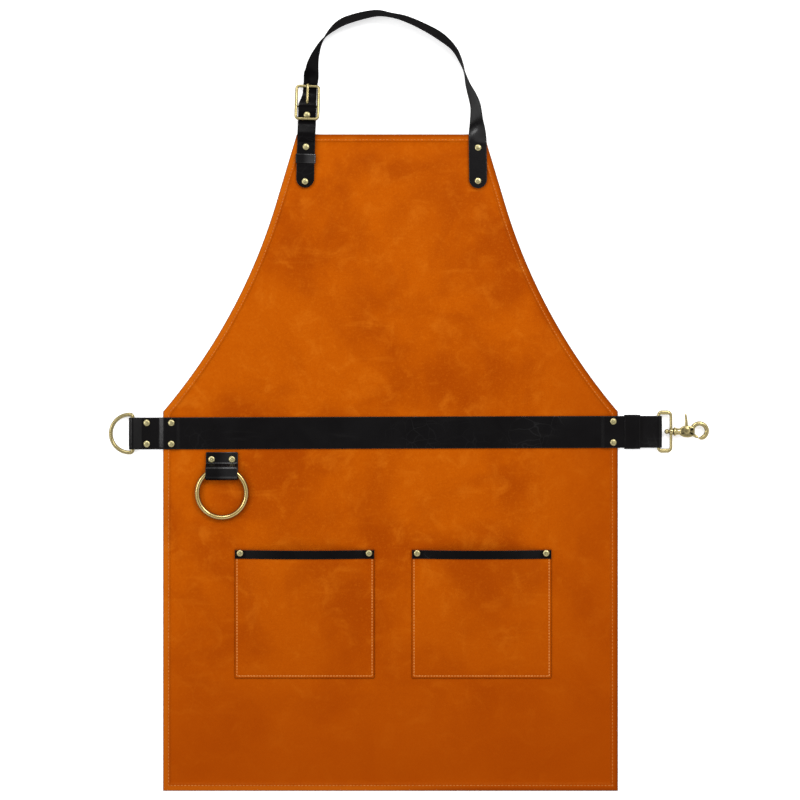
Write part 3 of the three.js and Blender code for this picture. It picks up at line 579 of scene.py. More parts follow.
@dataclass(frozen=True)
class HideFinish:
    """Glossy orange-tan leather with cloudy tone, rubbed streaks, painted light and painted shade on its
    hem, and a dark edge line of painted shade.
    """

    name: str
    hem: float
    rim: float
    deep: tuple = colour(0.28, 0.039, 0.0)
    mid: tuple = colour(0.375, 0.065, 0.0)
    pale: tuple = colour(0.47, 0.112, 0.004)
    # Painted shade laid on the hem at the right and top
    hem_painted_shade: tuple = colour(0.19, 0.024, 0.0)
    # The dark rim is painted shade where the cut edge rounds down
    rim_painted_shade: tuple = colour(0.09, 0.03, 0.004)
    tint: tuple = colour(1.0, 0.52, 0.08)
    rough: tuple[float, float] = (0.36, 0.5)
    specular: float = 0.2
    bump: tuple[float, float] = (0.22, 0.0006)
    crease_depth: float = -0.6
    mottle_pale: float = 0.5
    mottle_deep: float = 0.35
    fine_scale: float = 340.0
    fine_share: float = 0.3
    streak_share: float = 0.3
    crease_share: float = 0.22
    # Painted shade: the hide is darker towards the bottom, where less light falls
    bottom: tuple[float, float] = (-0.5, -0.16)
    bottom_shade_share: float = 0.85
    right: tuple[float, float] = (0.12, 0.25)
    right_share: float = 0.5
    # Where the hem gets its painted shade, in X and Y, and the shares of the hem's painted light and
    # painted shade
    hem_right: tuple[float, float] = (-0.06, 0.1)
    hem_top: tuple[float, float] = (0.322, 0.328)
    hem_painted_light_share: float = 0.35
    hem_painted_shade_share: float = 0.8

    def face_layers(self, graph: Graph, at: bpy.types.NodeSocket, tone: bpy.types.Node) -> list[tuple]:
        """What lies over the clouds: mottling coarse and fine, streaks, creases, painted shade deeper
        towards the bottom, and deeper at the right.

        Args:
            graph: the material's graph.
            at: its Object coordinates.
            tone: its leather tone group.

        Returns:
            Each layer's share and colour, in order.
        """
        mottle, place = tone.outputs["Mottle"], graph.add("SeparateXYZ", {"Vector": at}).outputs
        fine = graph.noise(at, self.fine_scale, detail=3.0, rough=0.6)
        return [
            (graph.ramp(mottle, 0.48, 0.78, 0.0, self.mottle_pale), self.pale),
            (graph.ramp(mottle, 0.2, 0.46, self.mottle_deep, 0.0), self.deep),
            (graph.ramp(fine, 0.5, 0.8, 0.0, self.fine_share), self.pale),
            (graph.ramp(fine, 0.2, 0.5, self.fine_share, 0.0), self.deep),
            (graph.math("MULTIPLY", tone.outputs["Streak"], self.streak_share), self.pale),
            (graph.math("MULTIPLY", tone.outputs["Crease"], self.crease_share), self.pale),
            (graph.ramp(place["Y"], *self.bottom, self.bottom_shade_share, 0.0), self.deep),
            (graph.ramp(place["X"], *self.right, 0.0, self.right_share), self.deep),
        ]

    def edge_layers(self, graph: Graph, at: bpy.types.NodeSocket) -> list[tuple]:
        """What lies over the edge: painted light on the hem at the left, painted shade on it at right and
        top, and a dark rim of painted shade.

        Args:
            graph: the material's graph.
            at: its Object coordinates.

        Returns:
            Each layer's share and colour, in order.
        """
        edge, place = graph.attribute("edge"), graph.add("SeparateXYZ", {"Vector": at}).outputs
        shaded_side = graph.math("MAXIMUM", graph.ramp(place["X"], *self.hem_right),
                          graph.ramp(place["Y"], *self.hem_top))
        # Painted light on the hem at the left, painted shade on it at the right and top
        pale = graph.ramp(edge, 5.0, 7.5, self.hem_painted_light_share * self.hem, 0.0)
        dark = graph.ramp(edge, 0.8, 6.4, self.hem_painted_shade_share * self.hem, 0.0)
        return [
            (graph.math("MULTIPLY", pale, graph.math("SUBTRACT", 1.0, shaded_side)), self.pale),
            (graph.math("MULTIPLY", dark, shaded_side), self.hem_painted_shade),
            # Painted shade along the rounded cut edge
            (graph.ramp(edge, 0.2, 1.5, self.rim, 0.0), self.rim_painted_shade),
        ]

    def material(self) -> bpy.types.Material:
        """Builds the material: clouds mix two tones, then come the face's layers and the edge's."""
        material, graph, shader, at = new_material(self.name)
        tone = graph.group(GROUPS.tone, at)
        grain = graph.group(GROUPS.grain, at)
        cloud = tone.outputs["Cloud"]
        base = graph.mix(graph.ramp(cloud, 0.32, 0.6), self.deep, self.mid)
        base = graph.laid_over(base, self.face_layers(graph, at, tone) + self.edge_layers(graph, at))
        rough = graph.ramp(cloud, 0.3, 0.75, *self.rough, smooth=False)
        height = graph.scaled_sum(tone.outputs["Crease"], self.crease_depth, grain.outputs["Height"])
        set_shader(graph, shader, Base_Color=base, Roughness=rough, Normal=graph.bump(height, *self.bump),
                   Specular_IOR_Level=self.specular, Specular_Tint=self.tint)
        return material


@dataclass(frozen=True)
class StrapFinish:
    """Smooth black strap leather with a waxed gloss, faint creases and greyer edges, rubbed and with a
    painted highlight.
    """

    name: str = "black_strap"
    body: tuple = colour(0.003, 0.0026, 0.0028)
    # Grey of rubbed streaks, and of the edges as wear with a painted highlight
    wear_and_edge_sheen: tuple = colour(0.009, 0.0085, 0.0085)
    gloss: tuple[float, float] = (0.06, 0.025)
    right: float = 1.0
    span: tuple[float, float] = (0.0, 1.0)
    streak_share: float = 0.35
    edge_sheen_and_wear_share: float = 0.7
    crease_shine: float = 0.09
    crease_depth: float = -0.5
    bump: tuple[float, float] = (0.2, 0.0005)
    rough: float = 0.5
    coat_index: float = 3.0
    coat_rough: float = 0.2

    def material(self) -> bpy.types.Material:
        """Builds the material: streaks mix in the worn tone, the edge mixes it in as wear with a painted
        highlight, clouds and creases vary the gloss.

        The gloss grows across the span in X to the factor for the right.
        """
        material, graph, shader, at = new_material(self.name)
        tone = graph.group(GROUPS.tone, at, Cloud=24.0, Streak=60.0, Crease=70.0)
        grain = graph.group(GROUPS.grain, at, Pebble=900.0)
        cloud, streak, crease = (tone.outputs[key] for key in ("Cloud", "Streak", "Crease"))
        # Greyer edges: wear and a painted highlight
        rim = graph.ramp(graph.attribute("edge"), 0.1, 0.9, self.edge_sheen_and_wear_share, 0.0)
        base = graph.mix(graph.scaled_sum(streak, self.streak_share, rim, clamp=True), self.body, self.wear_and_edge_sheen)
        across = graph.add("SeparateXYZ", {"Vector": at}).outputs["X"]
        gloss = graph.math("MULTIPLY", graph.ramp(cloud, 0.3, 0.75, *self.gloss, smooth=False),
                           graph.ramp(across, *self.span, 1.0, self.right))
        shine = graph.scaled_sum(crease, self.crease_shine, gloss, clamp=True)
        height = graph.scaled_sum(crease, self.crease_depth, grain.outputs["Height"])
        bump = graph.bump(height, *self.bump)
        set_shader(graph, shader, Base_Color=base, Roughness=self.rough, Normal=bump,
                   Specular_IOR_Level=0.0, Coat_Weight=shine, Coat_IOR=self.coat_index,
                   Coat_Roughness=self.coat_rough, Coat_Normal=bump)
        return material


@dataclass(frozen=True)
class BrassFinish:
    """Rubbed brass with faint tarnish and fine scratches, bright on its crowns, with painted shade
    darkening its sides.
    """

    name: str
    bright: tuple = colour(0.44, 0.365, 0.175)
    dull: tuple = colour(0.29, 0.23, 0.095)
    # Painted shade for the sides that turn away from straight up
    side: tuple = colour(0.12, 0.09, 0.03)
    rough: tuple[float, float] = (0.22, 0.32)
    tarnish_share: float = 0.5
    side_shade_share: float = 0.75
    scratch_rough: float = 0.06

    def material(self) -> bpy.types.Material:
        """Builds the material: tarnish dulls colour and gloss, scratches roughen it, painted shade darkens
        the sides.
        """
        material, graph, shader, at = new_material(self.name)
        metal = graph.group(GROUPS.metal, at)
        tarnish = metal.outputs["Tarnish"]
        base = graph.mix(graph.math("MULTIPLY", tarnish, self.tarnish_share), self.bright, self.dull)
        # Painted shade: darker where the surface turns away from up
        painted_side_shade = graph.ramp(graph.attribute("facing"), 0.1, 0.75, self.side_shade_share, 0.0)
        base = graph.mix(painted_side_shade, base, self.side)
        dulled = graph.ramp(tarnish, 0.0, 1.0, *self.rough, smooth=False)
        rough = graph.scaled_sum(metal.outputs["Scratch"], self.scratch_rough, dulled, clamp=True)
        set_shader(graph, shader, Base_Color=base, Roughness=rough, Metallic=1.0)
        return material


@dataclass(frozen=True)
class ThreadFinish:
    """Waxed tan sewing thread, a little uneven in tone."""

    name: str
    dark: tuple = colour(0.4, 0.105, 0.012)
    light: tuple = colour(0.54, 0.19, 0.04)
    patch_scale: float = 420.0
    strand_scale: float = 2600.0
    bump: tuple[float, float] = (0.3, 0.0002)
    rough: float = 0.7
    specular: float = 0.1

    def material(self) -> bpy.types.Material:
        """Builds the material: noise mixes two tones and roughens the strands."""
        material, graph, shader, at = new_material(self.name)
        patch = graph.noise(at, self.patch_scale, detail=3.0)
        base = graph.mix(graph.ramp(patch, low=0.35, high=0.65), self.dark, self.light)
        bump = graph.bump(graph.noise(at, self.strand_scale, detail=2.0), *self.bump)
        set_shader(graph, shader, Base_Color=base, Roughness=self.rough, Normal=bump,
                   Specular_IOR_Level=self.specular)
        return material


@dataclass(frozen=True)
class FloorFinish:
    """A plain pale floor, faintly uneven."""

    name: str = "pale_floor"
    dim: tuple = colour(0.93, 0.93, 0.93)
    pale: tuple = colour(0.95, 0.95, 0.95)
    glow: tuple = colour(1.0, 1.0, 1.0)
    glow_strength: float = 0.4
    rough: float = 0.75

    def material(self) -> bpy.types.Material:
        """Builds the material: near-white with a slow change of tone, faintly lit from within."""
        material, graph, shader, at = new_material(self.name)
        base = graph.mix(graph.noise(at, scale=2.0, detail=2.0), self.dim, self.pale)
        set_shader(graph, shader, Base_Color=base, Roughness=self.rough, Emission_Color=self.glow,
                   Emission_Strength=self.glow_strength)
        return material


# Pieces


class Bench:
    """Turns surfaces into objects with their finish, body, slot and the nodes that they stand for."""

    def __init__(self) -> None:
        """Builds the materials, one for each finish."""
        self.tan = HideFinish("tan_hide", hem=1.0, rim=0.85).material()
        self.panel = HideFinish("tan_panel", hem=0.0, rim=0.75,
                                rim_painted_shade=colour(0.14, 0.018, 0.001)).material()
        self.black = StrapFinish().material()
        self.trim = StrapFinish("trim_strap", gloss=(0.03, 0.012)).material()
        self.tab = StrapFinish("tab_strap", gloss=(0.05, 0.02), right=4.0, span=(-0.24, -0.224)).material()
        self.neck = StrapFinish("neck_strap", gloss=(0.016, 0.008), right=7.0,
                                span=(0.055, 0.085)).material()
        self.keeper = StrapFinish("keeper_strap", gloss=(0.12, 0.06), right=5.0,
                                  span=(-0.133, -0.122)).material()
        self.brass = BrassFinish("fitting_metal").material()
        self.wire = BrassFinish("wire_metal", bright=colour(0.335, 0.28, 0.134),
                                dull=colour(0.222, 0.176, 0.073)).material()
        self.ring = BrassFinish("ring_metal", bright=colour(0.5, 0.37, 0.15),
                                dull=colour(0.33, 0.225, 0.075)).material()
        self.pale = BrassFinish("rivet_metal", bright=colour(0.4, 0.355, 0.187),
                                dull=colour(0.26, 0.225, 0.1), rough=(0.3, 0.42)).material()
        self.thread = ThreadFinish("tan_thread").material()
        self.pale_thread = ThreadFinish("pale_thread", dark=colour(0.5, 0.16, 0.028),
                                        light=colour(0.62, 0.25, 0.06)).material()
        self.slots = {
            Slot.TAN: self.tan, Slot.BLACK: self.black, Slot.FITTING: self.brass, Slot.RIVET: self.pale,
        }

    def mesh_object(self, name: str, surface: Surface, material: bpy.types.Material,
                    sharp: float = 50.0) -> bpy.types.Object:
        """An object at the origin with a smooth mesh.

        Args:
            name: the object's name.
            surface: its surface, in the drawing's millimetres.
            material: its material.
            sharp: the angle in degrees past which an edge stays sharp.

        Returns:
            The new object.
        """
        mesh = bpy.data.meshes.new(name)
        faces = surface.quads.tolist() + surface.triangles.tolist()
        mesh.from_pydata(LAYOUT.metres(surface.points).tolist(), [], faces)
        normals = np.empty(3 * len(mesh.vertices), np.float32)
        mesh.vertex_normals.foreach_get("vector", normals)
        for key, values in (("edge", surface.edge), ("facing", np.abs(normals[2::3]))):
            if values is not None:
                layer = mesh.attributes.new(key, "FLOAT", "POINT")
                layer.data.foreach_set("value", values.astype(np.float32))
        mesh.polygons.foreach_set("use_smooth", np.ones(len(mesh.polygons), bool))
        mesh.set_sharp_from_angle(angle=math.radians(sharp))
        mesh.materials.append(material)
        piece = bpy.data.objects.new(name, mesh)
        bpy.context.scene.collection.objects.link(piece)
        return piece

    def piece(self, name: str, surface: Surface, slot: Slot, nodes: tuple[str, ...] = (),
              body: str = "apron", material: bpy.types.Material | None = None) -> bpy.types.Object:
        """A piece of the apron that rides on a body.

        Args:
            name: the piece's name.
            surface: its surface.
            slot: the slot that it takes its finish from.
            nodes: the nodes that it stands for.
            body: the body that it moves with.
            material: another material than the slot's own.

        Returns:
            The new object.
        """
        made = self.mesh_object(name, surface, material or self.slots[slot])
        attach(made, body)
        if nodes:
            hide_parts(*nodes)
        log.info("%s: %d faces", name, len(made.data.polygons))
        return made


def slab(x: np.ndarray, y: np.ndarray, top: np.ndarray, under: np.ndarray, edge: np.ndarray) -> Surface:
    """A closed sheet over a grid: an upper and a lower face at the given heights, joined round the rim.

    Args:
        x: places across, by row and column.
        y: places along, likewise.
        top: the upper face's heights.
        under: the lower face's heights.
        edge: each point's distance from the rim.

    Returns:
        The closed surface.
    """
    rows, columns = x.shape
    index = np.arange(rows * columns).reshape(rows, columns)
    count = index.size
    upper = np.stack([index[:-1, :-1], index[:-1, 1:], index[1:, 1:], index[1:, :-1]], -1).reshape(-1, 4)
    rim = np.concatenate([index[0], index[1:, -1], index[-1, -2::-1], index[-2:0:-1, 0]])
    ahead = np.roll(rim, -1)
    walls = np.stack([ahead, rim, rim + count, ahead + count], 1)
    points = np.concatenate([np.stack([x, y, z], -1).reshape(-1, 3) for z in (top, under)])
    quads = np.concatenate([upper, upper[:, ::-1] + count, walls])
    return Surface(points, quads, edge=np.tile(edge.ravel(), 2)).outward()


def step_up(value: np.ndarray, low: float, high: float) -> np.ndarray:
    """0 below low, 1 above high, and between them the smooth cubic step."""
    t = np.clip((value - low) / (high - low), 0, 1)
    return t * t * (3 - 2 * t)


def rim_round(distance: np.ndarray, radius: float) -> np.ndarray:
    """How far a quarter-round rim lies below its face, in radii, by the distance from the edge."""
    return 1 - np.sqrt(1 - (1 - np.clip(distance / radius, 0, 1)) ** 2)


def outside(x: np.ndarray, y: np.ndarray, box: tuple[float, float, float, float],
            fade: float) -> np.ndarray:
    """0 inside a box (x0, x1, y0, y1) and 1 outside it, with a smooth change over the fade's width."""
    gap_x = np.maximum(box[0] - x, x - box[1])
    gap_y = np.maximum(box[2] - y, y - box[3])
    return step_up(np.maximum(gap_x, gap_y), 0, fade)


def stitch(sides: int = 6) -> Surface:
    """One stitch along X about the origin: a capsule of length, width and height one, as six rings."""
    along = np.array([-0.5, -0.43, -0.2, 0.2, 0.43, 0.5])
    radius = np.array([0.2, 0.72, 1.0, 1.0, 0.72, 0.2]) / 2
    angle = full_turn(sides)
    grid = np.stack([
        np.broadcast_to(along[:, None], (len(along), sides)),
        radius[:, None] * np.cos(angle),
        radius[:, None] * np.sin(angle),
    ], -1)
    return grid_surface(grid, wrap_columns=True, capped=True)


def stitch_row(path: np.ndarray, pitch: float, size: tuple[float, float, float]) -> Surface:
    """A row of stitches along a path.

    Args:
        path: the seam's line on the leather.
        pitch: the spacing of the stitches.
        size: length, width and height of one stitch.

    Returns:
        All stitches as one surface; each is the same capsule, turned along the seam.
    """
    places = spaced(path, pitch, 0.01)
    along = unit(np.gradient(places, axis=0))
    side = unit(np.cross(UP, along))
    up = np.cross(along, side)
    one = stitch()
    shape = one.points * np.asarray(size)
    turned = (shape[None, :, 0, None] * along[:, None] + shape[None, :, 1, None] * side[:, None]
              + shape[None, :, 2, None] * up[:, None])
    points = (turned + places[:, None]).reshape(-1, 3)
    starts = (np.arange(len(places)) * len(one.points))[:, None, None]
    return Surface(points, (one.quads + starts).reshape(-1, 4), (one.triangles + starts).reshape(-1, 3))


@dataclass
class ApronHide:
    """Bib and skirt in one hide, its edge turned over once as a hem and sewn down."""

    height: float = 820.0
    skirt: float = 568.0
    bib: float = 234.0
    slope: float = math.radians(16.7)
    slope_height: float = 87.5
    armhole: float = 718.0
    hide: float = 1.8
    hem_top: float = 3.4
    hem_round: float = 1.3
    hem_width: float = 8.6
    hem_step: tuple[float, float] = (0.8, 2.0)
    lift: float = 0.15
    seam: float = 6.9
    groove: float = 0.45
    groove_width: float = 0.8
    stitch_pitch: float = 4.3
    stitch_size: tuple[float, float, float] = (3.1, 0.85, 0.7)
    stitch_sunk: float = 0.28
    wave: float = 0.9
    wave_from_edge: tuple[float, float] = (9.0, 60.0)
    # Strength, lengths across and along, and phase of each ripple, and the range of their sum
    ripples: tuple[tuple[float, float, float, float], ...] = (
        (1.0, 47, 83, 0.6), (1.0, -98, 61, 2.1), (0.7, 31, -39, 4.0), (0.5, 23, 27, 1.0),
    )
    ripple_range: float = 6.4
    # Under the belt, pockets, tab and the neck strap's anchors, and the width of the change round them
    held_flat: tuple[tuple[float, float, float, float], ...] = (
        (-290, 290, 424, 470), (-196, -18, 138, 304), (25, 202, 138, 304), (-233, -187, 338, 426),
        (-122, -88, 748, 830), (92, 126, 748, 830),
    )
    held_fade: float = 45.0
    insets: tuple[float, ...] = (
        0, 0.05, 0.2, 0.5, 0.9, 1.3, 2.5, 4.2, 5.6, 6.3, 6.9, 7.5, 8.1, 8.6, 8.8, 9.05, 9.5, 11,
    )
    columns: int = 116
    rows: int = 170

    def half_width(self, y: np.ndarray, inset: np.ndarray | float) -> np.ndarray:
        """Half the sheet's width at a height, a distance inside its edge.

        The least of the straight side and the upper side, which is a slanted line above the armhole's end
        and below it a circle about a point outside the sheet, each moved in by the inset.

        Args:
            y: heights above the hem.
            inset: distance from the edge, square to it.

        Returns:
            The half widths.
        """
        end_x = self.bib / 2 + self.slope_height * math.tan(self.slope)
        centre_x = end_x + self.armhole * math.cos(self.slope)
        centre_y = self.height - self.slope_height + self.armhole * math.sin(self.slope)
        radius = self.armhole + inset
        circle = centre_x - np.sqrt(np.maximum(radius**2 - (y - centre_y) ** 2, 0))
        line = self.bib / 2 + (self.height - y) * math.tan(self.slope) - inset / math.cos(self.slope)
        upper = np.where(y > centre_y - radius * math.sin(self.slope), line, circle)
        inside = np.where(y > centre_y - radius, upper, np.inf)
        return np.minimum(self.skirt / 2 - inset, inside)

    def waves(self, x: np.ndarray, y: np.ndarray) -> np.ndarray:
        """The hide's slow rise off the surface: crossed sines, held flat under everything sewn to it."""
        slow = sum(strength * np.sin(x / across + y / along + phase)
                   for strength, across, along, phase in self.ripples)
        free = np.prod([outside(x, y, box, self.held_fade) for box in self.held_flat], axis=0)
        return self.wave * (0.5 + slow / self.ripple_range) * free

    def build(self) -> Surface:
        """The sheet as a grid: columns keep their distance from the sides near them, rows from hem and top.

        Each point's distance from the nearest edge gives its height: a round fold, the doubled hem with the
        seam's groove, the step down at the hem's cut edge and then the single hide, over the slow waves.

        Returns:
            The closed sheet.
        """
        inset = np.array(self.insets)
        inner = np.linspace(inset[-1], self.height - inset[-1], self.rows)[1:-1]
        y = np.concatenate([inset, inner, self.height - inset[::-1]])[:, None]
        share = np.linspace(-1, 1, self.columns)[None, 1:-1]
        left = -self.half_width(y, inset[None, :])
        middle = share * self.half_width(y, inset[-1])
        x = np.concatenate([left, middle, -left[:, ::-1]], 1)
        y = np.broadcast_to(y, x.shape)
        from_side = np.concatenate([
            np.broadcast_to(inset, left.shape),
            inset[-1] + self.half_width(y[:, :1], inset[-1]) - np.abs(middle),
            np.broadcast_to(inset[::-1], left.shape),
        ], 1)
        edge = np.minimum(from_side, np.minimum(y, self.height - y))
        drop = self.hem_round * rim_round(edge, self.hem_round)
        before, after = self.hem_step
        doubled = 1 - step_up(edge, self.hem_width - before, self.hem_width + after)
        seam = self.groove * np.exp(-(((edge - self.seam) / self.groove_width) ** 2))
        top = self.hide + (self.hem_top - self.hide) * doubled - drop - seam
        waves = self.waves(x, y) * step_up(edge, *self.wave_from_edge)
        return slab(x, y, top + waves, self.lift + drop + waves, edge)

    def seam_line(self) -> np.ndarray:
        """The hem's seam: the edge moved in, from the left bottom corner all the way round."""
        y = np.linspace(self.seam, self.height - self.seam, 400)
        half = self.half_width(y, self.seam)
        right = np.stack([half, y], 1)
        left = np.stack([-half, y], 1)[::-1]
        line = np.concatenate([right, left, right[:1]])
        return np.column_stack([line, np.full(len(line), self.hem_top - self.stitch_sunk)])

    def dress(self, bench: Bench) -> None:
        """Makes the hide and its seam."""
        sheet = bench.piece("apron_hide", self.build(), Slot.TAN, ("apron_body",))
        seam = stitch_row(self.seam_line(), self.stitch_pitch, self.stitch_size)
        thread = bench.piece("hem_stitches", seam, Slot.TAN, material=bench.thread)


@dataclass
class Pocket:
    """A patch pocket sewn at its sides and bottom, with a black strip along its slightly open mouth."""

    name: str
    x: float
    width: float = 174.0
    height: float = 161.0
    top: float = 302.0
    hide: float = 1.6
    seat: float = 2.1
    margin: float = 13.0
    gape: float = 9.0
    gape_power: float = 1.5
    rim: float = 0.6
    seam: float = 2.7
    groove: float = 0.4
    groove_width: float = 0.6
    stitch_pitch: float = 3.7
    stitch_size: tuple[float, float, float] = (3.0, 1.1, 0.7)
    stitch_sunk: float = 0.2
    trim_width: float = 10.8
    trim_drop: float = 1.2
    trim_hide: float = 1.2
    trim_to_seam: float = 1.5
    rivet_inset: float = 6.5
    rivet_y: float = 297.0
    rivet_top: float = 5.2
    insets: tuple[float, ...] = (0, 0.04, 0.15, 0.35, 0.6, 1.2, 1.9, 2.3, 2.7, 3.1, 3.5, 4.5, 7, 10)
    trim_insets: tuple[float, ...] = (0, 0.04, 0.15, 0.35, 0.6, 1.2, 2.0)

    def under(self, x: np.ndarray, y: np.ndarray) -> np.ndarray:
        """The panel's underside: it gapes most at the middle of the mouth and closes towards the seams."""
        across = np.minimum(1, np.abs(x - self.x) / (self.width / 2 - self.margin))
        down = np.clip((self.top - y) / self.height, 0, 1)
        return self.seat + self.gape * (1 - across**2) * (1 - down) ** self.gape_power

    def grid(self, low: float, high: float, insets: np.ndarray, columns: int,
             rows: int) -> tuple[np.ndarray, np.ndarray]:
        """Places of a rectangle as wide as the pocket, with fine lines along its rim.

        Args:
            low: its lower edge.
            high: its upper edge.
            insets: the fine lines' distances from the rim.
            columns: lines across between them.
            rows: lines along between them.

        Returns:
            The places across and along, by row and column.
        """
        def lines(start: float, end: float, count: int) -> np.ndarray:
            """Fine lines at both ends and even ones between."""
            inner = np.linspace(start + insets[-1], end - insets[-1], count)[1:-1]
            return np.concatenate([start + insets, inner, end - insets[::-1]])

        half = self.width / 2
        return np.meshgrid(lines(self.x - half, self.x + half, columns), lines(low, high, rows))

    def panel(self) -> Surface:
        """The panel: its underside plus the hide, with rounded cut edges and a groove along the seam."""
        low = self.top - self.height
        x, y = self.grid(low, self.top, np.array(self.insets), columns=60, rows=54)
        side = self.width / 2 - np.abs(x - self.x)
        edge = np.minimum(side, np.minimum(y - low, self.top - y))
        sewn = np.minimum(side, y - low)
        drop = self.rim * rim_round(edge, self.rim)
        seam = self.groove * np.exp(-(((sewn - self.seam) / self.groove_width) ** 2))
        under = self.under(x, y)
        return slab(x, y, under + self.hide - drop - seam, under + drop / 2, edge)

    def trim(self) -> Surface:
        """The strip along the mouth, lying on the panel and following its gape."""
        high = self.top - self.trim_drop
        low = high - self.trim_width
        x, y = self.grid(low, high, np.array(self.trim_insets), columns=80, rows=8)
        side = self.width / 2 - np.abs(x - self.x)
        edge = np.minimum(side, np.minimum(y - low, high - y))
        drop = self.rim * rim_round(edge, self.rim)
        under = self.under(x, y) + self.hide + GAP
        return slab(x, y, under + self.trim_hide - drop, under, edge)

    def seam_line(self) -> np.ndarray:
        """The seam: down the left side, along the bottom and up the right side, on the panel's face."""
        left, right = self.x - self.width / 2 + self.seam, self.x + self.width / 2 - self.seam
        low = self.top - self.height + self.seam
        high = self.top - self.trim_drop - self.trim_width - self.trim_to_seam
        line = spaced(np.array([[left, high], [left, low], [right, low], [right, high]]), 1.0, 0.01, 2)
        height = self.under(line[:, 0], line[:, 1]) + self.hide - self.stitch_sunk
        return np.column_stack([line, height])

    def rivet_places(self) -> list[tuple[float, float, float]]:
        """Where the strip's two rivets sit, from the left: across, along and height."""
        reach = self.width / 2 - self.rivet_inset
        return [(self.x + side * reach, self.rivet_y, self.rivet_top) for side in (-1, 1)]

    def dress(self, bench: Bench) -> None:
        """Makes the panel, its strip and its seam."""
        panel = bench.piece(f"pocket_panel_{self.name}", self.panel(), Slot.TAN, (f"pocket_{self.name}",),
                            material=bench.panel)
        bench.piece(f"pocket_strip_{self.name}", self.trim(), Slot.BLACK, (f"pocket_trim_{self.name}",),
                    material=bench.trim)
        seam = stitch_row(self.seam_line(), self.stitch_pitch, self.stitch_size)
        thread = bench.piece(f"pocket_stitches_{self.name}", seam, Slot.TAN, material=bench.pale_thread)


@dataclass
class Rivet:
    """A rivet with a domed head that has a small dimple, a post and a flat cap on the underside."""

    name: str
    node: str
    x: float
    y: float
    top: float
    head: float = 4.25
    rise: float = 1.8
    post: float = 1.5
    cap: float = 3.75
    cap_depth: float = 0.8
    bevel: float = 0.2
    seat: float = 0.2
    rim: float = 0.35
    sides: int = 32

    def build(self) -> Surface:
        """The rivet turned about its own axis: cap, post, the head's rounded rim, dome and dimple.

        The dome is part of an ellipse over the rim, from near the head's edge in to the dimple.

        Returns:
            The closed surface.
        """
        cap, head, under = self.cap, self.head, self.top + self.seat
        crown = under + self.rise
        base = [(0, 0), (cap - self.bevel, 0), (cap, self.bevel), (cap, self.cap_depth),
                (self.post, self.cap_depth), (self.post, under), (head * 0.93, under), (head, under + 0.15),
                (head, under + 0.4)]
        share = np.linspace(0.16, 1, 9)[::-1]
        height = under + self.rim + (self.rise - self.rim) * np.sqrt(1 - 0.93 * share**2)
        dome = np.stack([head * 0.96 * share, height], 1)
        dimple = [(0.10 * head, crown - 0.12), (0.05 * head, crown - 0.34), (0, crown - 0.38)]
        profile = np.concatenate([np.array(base), dome, np.array(dimple)])
        return lathe(profile, self.sides).moved(by=(self.x, self.y, 0))

    def dress(self, bench: Bench) -> None:
        """Makes the rivet in place of its node."""
        bench.piece(self.name, self.build(), Slot.RIVET, (self.node,))


class End(Enum):
    """How a strap ends."""

    SQUARE = "square"
    ROUND = "round"


def fine_ends(path: np.ndarray, dims: int = 3) -> np.ndarray:
    """A path with extra rows close to both ends, where a strap's rounding needs them."""
    near, shares = 2.4, (0.02, 0.06, 0.13, 0.24, 0.42, 0.68)
    length = path_length(path[:, :dims])
    extra = near * np.array(shares)
    at = np.unique(np.concatenate([length, extra, length[-1] - extra]))
    return np.stack([np.interp(at, length, column) for column in path.T], 1)


def end_shape(from_tip: np.ndarray, width: float, thick: float,
              end: End) -> tuple[np.ndarray, np.ndarray]:
    """How a strap narrows and thins towards one tip.

    Args:
        from_tip: distances from the tip.
        width: the strap's width.
        thick: its thickness.
        end: how it ends.

    Returns:
        The share of its width and of its thickness: a half-round outline, or small round corners, and a
        rounded cut edge.
    """
    square_corner, cut_radius, nearly_all = 1.6, 0.45 * thick, 0.998
    thin = 0.35 + 0.65 * np.sqrt(1 - (1 - np.clip(from_tip / cut_radius, 0, 1)) ** 2)
    radius = width / 2 if end is End.ROUND else square_corner
    left = 1 - np.clip(from_tip / radius, 0, 1)
    wide = 1 - (radius / (width / 2)) * (1 - np.sqrt(1 - np.minimum(left, nearly_all) ** 2))
    return wide, thin


def strap(path: np.ndarray, side: np.ndarray, width: float, thick: float, finish: End = End.SQUARE,
          up: np.ndarray | None = None, narrow: np.ndarray | float = 1.0) -> Surface:
    """A leather strap along a path, with rounded edges and tips.

    Args:
        path: its middle line.
        side: the direction of its width, one or one for each place.
        width: its width.
        thick: its thickness.
        finish: how its last tip ends; its first tip is square.
        up: its face's direction at each place; square to the path and the side if not given.
        narrow: the share of its width at each place, or one for all.

    Returns:
        The closed surface.
    """
    length = path_length(path)
    side = np.broadcast_to(np.asarray(side, float), path.shape)
    if up is None:
        up = unit(np.cross(unit(np.gradient(path, length, axis=0)), side))
    wide_a, thin_a = end_shape(length, width, thick, End.SQUARE)
    wide_b, thin_b = end_shape(length[-1] - length, width, thick, finish)
    section = strap_section(width, thick, crown=0.18)
    return sweep(path, side, up, section, wide_a * wide_b * narrow, thin_a * thin_b)


def loop_strap(path: np.ndarray, side: tuple[float, float, float], width: float, thick: float) -> Surface:
    """A keeper: a strap closed on itself round a path."""
    along = unit(np.roll(path, -1, 0) - np.roll(path, 1, 0))
    up = unit(np.cross(along, np.broadcast_to(np.asarray(side, float), path.shape)))
    return sweep(path, np.asarray(side, float), up, strap_section(width, thick, crown=0.1), closed=True)


